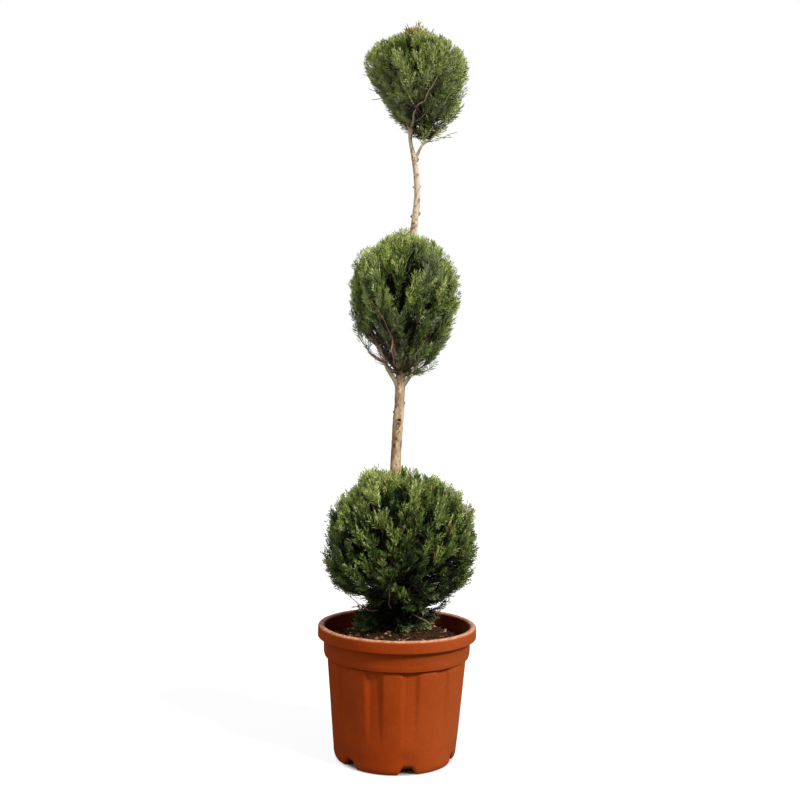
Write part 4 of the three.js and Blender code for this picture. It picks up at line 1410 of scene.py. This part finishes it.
def shoots(name, random):
    """Set, height share, azimuth and raggedness of every shoot of a ball, and where it ends."""
    ball = BALLS[name]
    sets = SHOOT_SETS[name]
    for group, count in sets.items():
        for i in range(count):
            azimuth = (i * GOLDEN_ANGLE + random.uniform(-AZIMUTH_SPREAD, AZIMUTH_SPREAD)) % (2 * math.pi)
            height = 1 - 2 * (i + 0.5) / count
            if group == "foot":
                in_gap = FOOT_GAP[0] < azimuth < FOOT_GAP[1]
                radius = random.uniform(*(FOOT_GAP_REACH if in_gap else FOOT_REACH))
                share = random.uniform() ** (2 if in_gap else 1)
                rise = soil_height(radius) + FOOT_RISE[0] + (FOOT_RISE[1] - FOOT_RISE[0]) * share
                place = (radius * math.cos(azimuth), radius * math.sin(azimuth), rise)
                yield group, -1, azimuth, 0, place
            elif group == "tuft":
                aside = TUFT["spread"] * math.sqrt((i + 0.5) / count)
                top = random.uniform(*TUFT["top"])
                place = (TUFT["x"] + aside * math.cos(azimuth), aside * math.sin(azimuth), top)
                yield group, 1, azimuth, 0, place
            elif group == "crest":
                place = random.uniform(*zip(CREST_X, CREST_Y, CREST_TOP))
                yield group, 1, math.atan2(place[1], place[0]) % (2 * math.pi), 0, place
            elif group != "outer" or "foot" not in sets or height > FOOT_SHARE:
                if group == "under":
                    height = random.uniform(*UNDER_HEIGHTS)
                ragged = unevenness(name, ball_point(ball, azimuth, height, 1), random)
                inside = INSIDE_REACH.get(group)
                out = random.uniform(*inside) if inside else CLIP_REACH + ragged
                out = min(out, cleft_depth(name, azimuth, height) or out)
                tip = ball_point(ball, azimuth, height, out)
                tip[2] = ball["middle"] + (tip[2] - ball["middle"]) * out
                yield group, height, azimuth, ragged, tip


def shoot_heading(group, fork, tip, height, azimuth, random):
    """The way that a shoot points: up and outwards from its ball's fork."""
    round_about = np.array((math.cos(azimuth), math.sin(azimuth), 0))
    if group == "foot":
        lean = (0, 0, random.uniform(*FOOT_LEAN))
        return unit(round_about + lean + random.normal(0, FOOT_WANDER, 3))
    if group in ("tuft", "crest"):
        return unit(round_about * UPRIGHT_LEAN + (0, 0, 1))
    tilt = max(height, LOWEST_TILT)
    outward = round_about * math.sqrt(1 - tilt * tilt) + (0, 0, tilt)
    away, out, up = LEAN
    lean = unit(tip - fork) * away + outward * out + (0, 0, up)
    return unit(lean + random.normal(0, LEAN_WANDER, 3))


def grow_ball(name):
    """All twigs and sprays of one ball, before the shears."""
    ball = BALLS[name]
    growth = Growth(name)
    random = growth.random
    fork = np.array((ball_axis(ball, ball["fork"]), 0, ball["fork"]))
    dealt = {mass: 0 for mass in MASSES}
    for group, height, azimuth, ragged, tip in shoots(name, random):
        tip = np.array(tip)
        mass = mass_of(name, tip)
        dealt[mass] += 1
        if dealt[mass] % THIN_MASSES.get(mass, dealt[mass] + 1) == 0:
            continue
        along = shoot_heading(group, fork, tip, height, azimuth, random)
        stations = [np.array(station[:3]) for station in bough_stations(mass)]
        stem = stations[0:2] if group == "foot" else stations[2:4]
        longest = SHORT_PLUME_LENGTH if group in SHORT_PLUMES else PLUME_LENGTH[name]
        length = np.clip(PLUME_SHARE * np.linalg.norm(tip - fork), SHORT_PLUME_LENGTH, longest)
        is_low = height < FEWER_TWIGS_UNDER and name != "bottom"
        growth.start_plume(group, height, azimuth, ragged, cleft_depth(name, azimuth, height) > 0)
        length = length * random.uniform(*LENGTH_SPREAD)
        grow_plume(growth, stem, tip, along, length, SIDE_TWIGS - is_low)
    for mass, share in WISPS.items():
        if ball_of(mass) == name:
            growth.start_plume("wisp", -0.5, 0)
            hang_wisps(growth, bough_path(mass)[0][int(share * BOUGH_ROWS):])
    for path, _, _, leafy in edge_twigs(name):
        growth.start_plume("wisp", -0.3, 0)
        hang_wisps(growth, path[int(leafy * len(path)):])
    return growth


def edge_twigs(name):
    """Places and radii along each bare twig of a ball, its clear strip, and where wisps start."""
    paths = []
    for mass, share, radius, strip, leafy, points in EDGE_TWIGS:
        if ball_of(mass) == name:
            start = bough_path(mass)[0][int(share * BOUGH_ROWS)]
            stations = [(*start, radius)] + [(*point, 0) for point in points]
            path, _ = smooth_path(stations, EDGE_TWIG_ROWS * len(points))
            path = crooked(path, EDGE_TWIG_WANDER * radius, EDGE_TWIG_WAVE, seeds=(44, 45, 46))
            paths.append((path, np.linspace(radius, EDGE_TWIG_TIP, len(path)), strip, leafy))
    return paths


def as_seen(points):
    """Points as they lie in the view from the front, at the size that they have at the trunk."""
    off = points - VIEWPOINT
    return off[..., ::2] * -VIEWPOINT[1] / off[..., 1:2]


def over_soil(points, clearance):
    """Points that are at least so far above the compost."""
    return points[:, 2] > soil_height(np.hypot(points[:, 0], points[:, 1])) + clearance


def clear_of_limbs(name, points):
    """Points that keep off the trunk, and off the lines of sight to the limbs that show bare."""
    path, radii = smooth_path(TRUNK_STATIONS, TRUNK_CHECKS)
    clear = np.ones(len(points), bool)
    for place, radius in zip(path, radii):
        near = np.abs(points[:, 2] - place[2]) < TRUNK_CHECK_REACH
        clear[near] &= np.hypot(*(points[near, :2] - place[:2]).T) > radius + LIMB_CLEARANCE
    shown = [(twig, strip) for twig, _, strip, _ in edge_twigs(name)]
    if name == "top":
        shown.append((path[path[:, 2] > BARE_TRUNK_FOOT], BARE_TRUNK_STRIP))
    for mass, (low, high, width) in BARE_LIMBS.items():
        if ball_of(mass) == name:
            limb = bough_path(mass)[0]
            shown.append((limb[int(low * BOUGH_ROWS):int(high * BOUGH_ROWS)], width))
    view = as_seen(points)
    for limb, width in shown:
        for place, spot in zip(limb, as_seen(limb)):
            in_front = points[:, 1] < place[1] + BEHIND_LIMB
            clear &= ~(in_front & (np.hypot(*(view - spot).T) < width))
    return clear


def off_gaps(name, points):
    """Points that leave the gaps open that the sky shows through."""
    view = as_seen(points) + VIEWPOINT[::2]
    clear = np.ones(len(points), bool)
    for x, z, *sizes in SKY_GAPS[name]:
        off = (view - (x, z)) / (np.array(sizes) + GAP_CLEARANCE[name])
        clear &= np.hypot(*off.T) > 1
    return clear


def clipped(name, sprays, plumes):
    """Sprays cut back to the ball's outline, and those kept that are clear of limbs and soil."""
    ball = BALLS[name]
    random = np.random.default_rng(BALL_SEEDS[name])
    root, along = sprays["root"], sprays["along"]
    own = plumes[sprays["plume"]]
    limit = CLIP_REACH + own["ragged"] + SPRAY_RAGGEDNESS * random.uniform(-1, 1, len(sprays))
    at_root = outline_share(ball, root)
    at_tip = outline_share(ball, root + along * sprays["length"][:, None])
    room = np.where(at_tip > limit, (limit - at_root) / np.maximum(at_tip - at_root, 1e-3), 1)
    is_loose = np.isin(own["set"], ("wisp", "foot", "crest", "tuft"))
    is_wisp = own["set"] == "wisp"
    room[is_loose] = 1
    room[is_wisp & (at_tip > WISP_LIMIT[name])] = 0
    cut = sprays["length"] * np.clip(room, 0, 1)
    tips = root + along * cut[:, None]
    kept = (room > SHORTEST_CUT) & ((at_root < limit) | is_loose)
    kept &= over_soil(tips, SOIL_TIP_CLEARANCE) & over_soil(root, SOIL_ROOT_CLEARANCE)
    for share in CHECKED_SHARES:
        places = root + share * (tips - root)
        kept &= clear_of_limbs(name, places) | (own["set"] == "foot")
        kept &= off_gaps(name, places)
    sprays = sprays.copy()
    sprays["length"] = cut
    return sprays[kept]


GROWTH = {name: grow_ball(name) for name in BALLS}


# Twigs
# Thin, brown, woody twigs carry the sprays and are as fine as a straw at their tips. A few
# stouter ones in the boughs' bark show bare at the faces and edges of the balls.
TWIG_SIDES = 3
EDGE_TWIG_COLUMNS = 8
TWIG_REACH = 1.02
TWIG_BROWN = (0.075, 0.054, 0.030)
TWIG_ROUGHNESS = 0.8
# How bleached the bare twigs are low down, how much more high up, and between which heights
TWIG_BLEACH_LOW = 0.05
TWIG_BLEACH_HIGH = 0.5
TWIG_BLEACH_HEIGHTS = (1000, 1390)


def make_twig_tree():
    """Round tubes along every line of a mesh, as thick as its thickness attribute says."""
    tree = GeometryTree("twig_tubes", {"Sides": "NodeSocketInt"})
    given = tree.start.outputs
    lines = tree.add("GeometryNodeMeshToCurve", {"Mesh": given["Geometry"]})
    ring = tree.add("GeometryNodeCurvePrimitiveCircle", {"Resolution": given["Sides"]}, Radius=1.0)
    thick = tree.add("GeometryNodeInputNamedAttribute", data_type="FLOAT", Name="thickness")
    tubes = tree.add("GeometryNodeCurveToMesh", {
        "Curve": lines.outputs["Curve"],
        "Profile Curve": ring.outputs["Curve"],
        "Scale": thick.outputs["Attribute"],
    })
    tubes.inputs["Fill Caps"].default_value = True
    tree.close(tubes.outputs["Mesh"])
    return tree


def twig_lines(name, twigs):
    """A mesh of loose lines, one for each twig, with the twigs' radii as its thickness."""
    places = np.vstack([twig for twig, _ in twigs]) * MILLIMETRE
    radii = np.concatenate([radius for _, radius in twigs]) * MILLIMETRE
    next_twigs = set(np.cumsum([len(twig) for twig, _ in twigs]).tolist())
    edges = [(i - 1, i) for i in range(1, len(places)) if i not in next_twigs]
    mesh = bpy.data.meshes.new(name)
    mesh.from_pydata(places.tolist(), edges, [])
    piece = placed(name, mesh)
    mark(piece, {"thickness": radii})
    return piece


def plain_finish(name, colour, roughness, gloss=0.5):
    """One plain colour, for pieces of thousands of small shapes."""
    material = bpy.data.materials.new(name)
    material.use_nodes = True
    shader = material.node_tree.nodes["Principled BSDF"]
    shader.inputs["Base Color"].default_value = (*colour, 1)
    shader.inputs["Roughness"].default_value = roughness
    shader.inputs["Specular IOR Level"].default_value = gloss
    return material


def inside_outline(name, twig):
    """The part of a twig before it meets the shears or comes too near the compost."""
    places, radii = twig
    kept = (outline_share(BALLS[name], places) < TWIG_REACH) & over_soil(places, SOIL_ROOT_CLEARANCE)
    count = len(places) if kept.all() else int(np.argmin(kept))
    return places[:count], radii[:count]


def edge_twig_skin(path, radii):
    """A bare twig in the boughs' bark."""
    rings, outward = limb_rings(path, radii, EDGE_TWIG_COLUMNS)
    points, faces = closed_grid(bark_relief(rings, outward, radii * BOUGH_RELIEF))
    pale = TWIG_BLEACH_LOW + TWIG_BLEACH_HIGH * smooth_step(points[:, 2], *TWIG_BLEACH_HEIGHTS)
    return points, faces, {"stain": np.zeros(len(points)), "bleach": pale}


def foliage_of(name):
    """The frame's nodes for the foliage of a ball."""
    return [f"foliage_{mass}" for mass in masses_of(name)]


twig_tree = make_twig_tree()
twig_bark = plain_finish("twig_bark", TWIG_BROWN, TWIG_ROUGHNESS)
for name in BALLS:
    cut = [inside_outline(name, twig) for twig in GROWTH[name].twigs]
    twigs = twig_lines(f"twigs_{name}", [twig for twig in cut if len(twig[0]) > 1])
    twig_tree.grow(twigs, Sides=TWIG_SIDES, Material=twig_bark)
    fit(twigs, "bark", *foliage_of(name))
    bare = [edge_twig_skin(path, radii) for path, radii, _, _ in edge_twigs(name)]
    fit(marked_piece(f"bare_twigs_{name}", bare, bough_bark), "bark", *foliage_of(name))


# Sprays
# Flat fans of scaly branchlets, set in turn on both sides of a rib. Their tones paint shade into the
# depth of a ball and its clefts and light up it, and they are fresh green at its clipped tips, grey-green
# underneath, and here and there yellow or scorched brown. Each spray has one of these plain colours.
TONES = {
    "shade": (0.0060, 0.0100, 0.0030),
    "deep": (0.0240, 0.0440, 0.0090),
    "green": (0.0900, 0.1450, 0.0260),
    "bright": (0.2050, 0.2700, 0.0560),
    "light": (0.3600, 0.4200, 0.1300),
    "yellow": (0.3600, 0.3600, 0.0950),
    "grey": (0.1700, 0.2100, 0.0900),
    "brown": (0.2600, 0.2000, 0.0550),
}
# A spray's level, from dark to light, which paints shade and light: at the outline, over what depth it
# falls by 1, and how it gains along its plume, from plume to plume, from spray to spray, by ball and up
# the ball
OUTLINE_LEVEL = 0.75
FADING_DEPTH = 38
TIP_LIGHT = 0.3
PLUME_CONTRAST = {"bottom": 0.12, "mid": 0.15, "top": 0.18}
SPRAY_CONTRAST = 0.21
BALL_LIGHTNESS = {"bottom": -0.08, "mid": 0.19, "top": 0.68}
HEAD_LIGHT = {"bottom": 0.5, "mid": 0.3, "top": 0.3}
CLEFT_SHADE = 0.7
SET_LIGHT = {"foot": -0.12, "crest": -0.15, "wisp": -0.35}
# More shade low on the bottom ball and more light on the sunny part of its foot, and more light
# on the low shoots and the lower part of the top ball: amounts, and the height shares under
# which they begin
LOW_SHADE, LOW_SHADE_UNDER = 0.8, -0.3
LIT_FOOT_LIGHT = 0.3
UNDER_LIGHT = 0.35
LOW_LIGHT, LOW_LIGHT_UNDER = 0.5, -0.2
TONE_SEED = 17
# The level under which a spray has each tone, the rest being light
TONE_LEVELS = {"shade": 0, "deep": 0.28, "green": 0.62, "bright": 0.95}
# The luck past which a spray is grey under a ball, at the sunny part of the foot, at the rest of
# the foot and elsewhere, how much that varies, the level from which it can be grey, and the
# height share below which it is under its ball
GREY_LUCK = (0.45, 0.3, 0.8, 1.15)
GREY_SPREAD = 0.25
GREY_LEVEL = 0.1
GREY_UNDER = -0.2
# The share of plumes with dry sprays and of scorched ones, the share of sprays on them that are
# dry, and the levels and the height share from which they are yellow or brown
DRY_SHARE = {"bottom": 0.16, "mid": 0.06, "top": 0.06}
SCORCHED_SHARE = 0.03
DRY_SPRAYS = 0.3
YELLOW_LEVEL = 0.5
YELLOW_HEIGHT = -0.1
BROWN_LEVEL = 0.3
TUFT_TONES = {"brown": 0.4, "yellow": 0.35, "green": 0.25}
# Shoots at the foot that the light reaches: their azimuths
LIT_FOOT = (math.radians(285), math.radians(345))
# A mass of grey-green plumes high at the right of the middle ball: azimuths and height shares
GREY_AZIMUTHS = (math.radians(293), math.radians(316))
GREY_HEIGHTS = (0.05, 0.75)
LEAF_ROUGHNESS = 0.5
LEAF_GLOSS = 0.3
# A spray's pattern, in shares of its length: its rib, its branchlets, the first one's place and
# the stretch that they take up, the last one's place and length at the tip, their angle at the
# foot and how much less it is at the tip, and their greatest length
RIB_LENGTH = 0.74
BRANCHLETS = 10
FIRST_BRANCHLET = 0.05
BRANCHLET_STRETCH = 0.65
TIP_PLACE = 0.70
TIP_LENGTH = 0.30
BRANCHLET_ANGLE = 0.78
ANGLE_LOSS = 0.25
BRANCHLET_LENGTH = 0.46
BRANCHLET_WIDTH = 0.035
BRANCHLET_WAIST = 0.45
BRANCHLET_KEEL = 0.022
BRANCHLET_ROLL = 0.6
RIB_WIDTH = 0.014
MOST_SPRAYS = 3900


def branchlet_skin(root, ahead, roll, width):
    """A slim branchlet with a keel, of four faces, turned by that much about its own length."""
    flat = unit(np.cross((0, 0, 1.0), ahead))
    over = unit(np.cross(ahead, flat))
    aside = flat * math.cos(roll) + over * math.sin(roll)
    keel = over * math.cos(roll) - flat * math.sin(roll)
    waist = root + ahead * BRANCHLET_WAIST + keel * BRANCHLET_KEEL
    points = np.array([root, waist + aside * width, waist - aside * width, root + ahead])
    return points, [(0, 2, 1), (3, 1, 2), (0, 1, 3), (0, 3, 2)]


def spray_skin(seed):
    """A feather of unit length along +X: a rib with slim branchlets at its sides and its tip."""
    random = np.random.default_rng(seed)
    bend = random.normal(0, 0.08)
    droop = random.normal(0.02, 0.05)
    skins = [branchlet_skin(np.zeros(3), np.array((RIB_LENGTH, 0.1 * bend, 0.5 * droop)), 0, RIB_WIDTH)]
    for i in range(BRANCHLETS + 1):
        if i == BRANCHLETS:
            place, angle, length = TIP_PLACE, 0, TIP_LENGTH
        else:
            even = FIRST_BRANCHLET + BRANCHLET_STRETCH * i / (BRANCHLETS - 1)
            place = even + random.uniform(-0.025, 0.025)
            angle = (BRANCHLET_ANGLE - ANGLE_LOSS * place + random.uniform(-0.14, 0.14)) * (-1) ** i
            taper = (1 - place) ** 0.45 * (0.7 + 0.5 * place)
            length = BRANCHLET_LENGTH * taper * random.uniform(0.8, 1.2)
        root = np.array((place, bend * place * (1 - place), droop * place * place))
        ahead = np.array((math.cos(angle + bend), math.sin(angle + bend), random.uniform(-0.12, 0.2)))
        roll = random.normal(0, BRANCHLET_ROLL)
        width = BRANCHLET_WIDTH * random.uniform(0.9, 1.1)
        skins.append(branchlet_skin(root, ahead * length, roll, width))
    return joined(skins)


def make_spray_tree():
    """Deals a pattern to every point, turned and sized by the point's own attributes."""
    tree = GeometryTree("spray_fans", {"Patterns": "NodeSocketCollection"})
    turn = tree.add("GeometryNodeInputNamedAttribute", data_type="FLOAT_VECTOR", Name="turn")
    size = tree.add("GeometryNodeInputNamedAttribute", data_type="FLOAT", Name="size")
    kind = tree.add("GeometryNodeInputNamedAttribute", data_type="INT", Name="kind")
    rotation = tree.add("FunctionNodeEulerToRotation", {"Euler": turn.outputs["Attribute"]})
    tree.close(tree.deal({
        "Points": tree.start.outputs["Geometry"],
        "Instance Index": kind.outputs["Attribute"],
        "Rotation": rotation.outputs["Rotation"],
        "Scale": size.outputs["Attribute"],
    }))
    return tree


def spray_points(name, sprays):
    """A mesh of points, one for each spray, with its turn, size and kind."""
    along, normal = sprays["along"], sprays["normal"]
    across = np.cross(normal, along)
    turn = np.stack([
        np.arctan2(across[:, 2], normal[:, 2]),
        -np.arcsin(np.clip(along[:, 2], -1, 1)),
        np.arctan2(along[:, 1], along[:, 0]),
    ], axis=-1)
    mesh = bpy.data.meshes.new(name)
    mesh.from_pydata((sprays["root"] * MILLIMETRE).tolist(), [], [])
    kinds = np.random.default_rng(len(sprays)).integers(0, SPRAY_KINDS, len(sprays))
    for key, kind, field, values in (
        ("turn", "FLOAT_VECTOR", "vector", turn.astype(np.float32)),
        ("size", "FLOAT", "value", (sprays["length"] * MILLIMETRE).astype(np.float32)),
        ("kind", "INT", "value", kinds.astype(np.int32)),
    ):
        mesh.attributes.new(key, kind, "POINT").data.foreach_set(field, values.ravel())
    return placed(name, mesh)


def spray_tones(name, sprays, plumes):
    """The tone of each spray: painted shade by how deep it lies, painted light and shade by where its
    plume is, and the plume's own colour.
    """
    ball = BALLS[name]
    random = np.random.default_rng(TONE_SEED)
    own = plumes[sprays["plume"]]
    group, height, azimuth, luck = own["set"], own["height"], own["azimuth"], own["luck"]
    at_foot = group == "foot"
    is_lit_foot = at_foot & (azimuth > LIT_FOOT[0]) & (azimuth < LIT_FOOT[1])
    middle = sprays["root"] + sprays["along"] * sprays["length"][:, None] * 0.6
    depth = np.maximum(1 - outline_share(ball, middle), 0) * ball["radius"]
    # Painted shade, darker the deeper a spray lies
    level = OUTLINE_LEVEL - depth / FADING_DEPTH + TIP_LIGHT * (sprays["share"] - 0.6)
    # Lighter or darker from plume to plume, and painted light up the ball
    level += PLUME_CONTRAST[name] * own["light"] + HEAD_LIGHT[name] * height
    # Painted shade low on the bottom ball and painted light on the lit part of its foot, and painted
    # light low on the top ball
    if name == "bottom":
        level -= LOW_SHADE * np.maximum(LOW_SHADE_UNDER - height, 0) * ~at_foot
        level += LIT_FOOT_LIGHT * is_lit_foot
    elif name == "top":
        level += UNDER_LIGHT * (group == "under") + LOW_LIGHT * np.maximum(LOW_LIGHT_UNDER - height, 0)
    # Lighter or darker by ball, and painted shade in the clefts
    level += BALL_LIGHTNESS[name] - CLEFT_SHADE * own["in_cleft"]
    for key, light in SET_LIGHT.items():
        level += light * (group == key)
    level += random.normal(0, SPRAY_CONTRAST, len(sprays))
    steps = [level < limit for limit in TONE_LEVELS.values()]
    tone = np.select(steps, list(TONE_LEVELS), "light").astype(object)
    is_under = (height < GREY_UNDER) & (name != "bottom")
    greyness = luck + random.normal(0, GREY_SPREAD, len(sprays))
    *limits, elsewhere = GREY_LUCK
    grey = greyness > np.select([is_under, is_lit_foot, at_foot], limits, elsewhere)
    in_patch = (azimuth > GREY_AZIMUTHS[0]) & (azimuth < GREY_AZIMUTHS[1])
    in_patch &= (height > GREY_HEIGHTS[0]) & (height < GREY_HEIGHTS[1]) & (name == "mid")
    tone[(grey | in_patch) & (level > GREY_LEVEL)] = "grey"
    is_dry = (luck < DRY_SHARE[name]) & (random.uniform(size=len(sprays)) < DRY_SPRAYS)
    tone[is_dry & (level > YELLOW_LEVEL) & (height > YELLOW_HEIGHT)] = "yellow"
    is_scorched = is_dry & (luck < SCORCHED_SHARE) & (name == "bottom")
    tone[is_scorched & (level > BROWN_LEVEL)] = "brown"
    in_tuft = group == "tuft"
    tone[in_tuft] = random.choice(list(TUFT_TONES), in_tuft.sum(), p=list(TUFT_TONES.values()))
    return tone


spray_tree = make_spray_tree()
fans = pattern_set("spray", [spray_skin(seed) for seed in range(SPRAY_KINDS)])
leaf_finishes = {
    tone: plain_finish(f"leaf_{tone}", colour, LEAF_ROUGHNESS, LEAF_GLOSS)
    for tone, colour in TONES.items()
}
for name in BALLS:
    plumes = np.array(GROWTH[name].plumes, PLUME)
    sprays = clipped(name, np.array(GROWTH[name].sprays, SPRAY), plumes)
    tones = spray_tones(name, sprays, plumes)
    for tone in TONES:
        own = sprays[tones == tone]
        parts = math.ceil(len(own) / MOST_SPRAYS)
        for i in range(parts):
            piece = spray_points(f"sprays_{name}_{tone}_{i + 1}", own[i::parts])
            spray_tree.grow(piece, Patterns=fans, Material=leaf_finishes[tone])
            fit(piece, "foliage", *foliage_of(name))
drop_patterns(fans)


# Floor, light and camera
# A plain pale floor that runs into a pale surround, under one key light from the front right
# and a weak, wide one from the left.
FLOOR_SIZE = 40000
FLOOR_COLOUR = (0.24, 0.24, 0.24)
FLOOR_CLOUD = 0.97
FLOOR_GLOW = 0.84
FLOOR_DROP = 0.5
# The surround's strength as the camera sees it, and as it lights the plant
SURROUND = 1.0
SURROUND_LIGHT = 0.34
# Lights: azimuth right of the front, elevation and angle across in degrees, strength and colour
KEY = (52, 37, 12, 5.2, (1, 0.965, 0.90))
FILL = (-48, 32, 60, 1.3, (1, 1, 1))
CAMERA_ROLL = math.radians(1.12)
FOCAL_LENGTH = 45.95
SENSOR_WIDTH = 36
SUN_DISTANCE = 3000


def floor_finish():
    """A pale matt floor, as bright to the eye as the surround, and dark under the pot."""
    finish = Finish("pale_floor", roughness=0.95)
    cloud = finish.mottled(scale=1.5, detail=3, low=0.3, high=0.7)
    darker = tuple(FLOOR_CLOUD * value for value in FLOOR_COLOUR)
    finish.feed("Base Color", finish.mixed(cloud.outputs["Mask"], FLOOR_COLOUR, darker))
    rays = finish.nodes.new("ShaderNodeLightPath")
    away = add_node(finish.nodes, "ShaderNodeVectorMath", operation="LENGTH")
    finish.links.new(finish.place, away.inputs[0])
    open_floor = add_node(finish.nodes, "ShaderNodeMapRange", clamp=True)
    finish.links.new(away.outputs["Value"], open_floor.inputs["Value"])
    open_floor.inputs["From Min"].default_value = (STAND_RADIUS - STAND_WIDTH) * MILLIMETRE
    open_floor.inputs["From Max"].default_value = (STAND_RADIUS + STAND_WIDTH) * MILLIMETRE
    glow = finish.product(rays.outputs["Is Camera Ray"], open_floor.outputs["Result"])
    finish.feed("Emission Strength", finish.product(glow, FLOOR_GLOW))
    finish.shader.inputs["Emission Color"].default_value = (1, 1, 1, 1)
    return finish.material


half = FLOOR_SIZE / 2
corners = [(-half, -half, 0), (half, -half, 0), (half, half, 0), (-half, half, 0)]
floor = new_piece("floor", np.array(corners) - (0, 0, FLOOR_DROP), [(0, 1, 2, 3)], floor_finish())
floor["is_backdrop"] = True


def add_sun(name, azimuth, elevation, angle, strength, colour):
    """A soft sun, from so far right of the front and so high, in degrees."""
    turn, rise = math.radians(azimuth), math.radians(elevation)
    level = math.cos(rise)
    towards = Vector((math.sin(turn) * level, -math.cos(turn) * level, math.sin(rise)))
    light = bpy.data.lights.new(name, "SUN")
    light.energy = strength
    light.angle = math.radians(angle)
    light.color = colour
    sun = bpy.data.objects.new(name, light)
    sun.location = towards * SUN_DISTANCE * MILLIMETRE
    sun.rotation_euler = towards.to_track_quat("Z", "Y").to_euler()
    bpy.context.scene.collection.objects.link(sun)


add_sun("key", *KEY)
add_sun("fill", *FILL)

world = bpy.data.worlds.new("surround")
bpy.context.scene.world = world
world.use_nodes = True
background = world.node_tree.nodes["Background"]
background.inputs["Color"].default_value = (1, 1, 1, 1)
rays = world.node_tree.nodes.new("ShaderNodeLightPath")
seen = add_node(world.node_tree.nodes, "ShaderNodeMapRange")
seen.inputs["To Min"].default_value = SURROUND_LIGHT
seen.inputs["To Max"].default_value = SURROUND
world.node_tree.links.new(rays.outputs["Is Camera Ray"], seen.inputs["Value"])
world.node_tree.links.new(seen.outputs["Result"], background.inputs["Strength"])
bpy.context.scene.view_settings.view_transform = "Standard"

camera = bpy.data.cameras.new("camera")
camera.sensor_width = SENSOR_WIDTH
camera.lens = FOCAL_LENGTH
camera_object = bpy.data.objects.new("camera", camera)
turn = Matrix.Rotation(math.pi / 2, 4, "X") @ Matrix.Rotation(CAMERA_ROLL, 4, "Z")
camera_object.matrix_world = Matrix.Translation(Vector(VIEWPOINT) * MILLIMETRE) @ turn
bpy.context.scene.collection.objects.link(camera_object)
bpy.context.scene.camera = camera_object


# Size
# The frame's box and the dressed plant's box.
boxes = {"solids": solid_box, "dressed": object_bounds()}
plain_boxes = {
    key: [[float(value) for value in corner] for corner in box] for key, box in boxes.items()
}
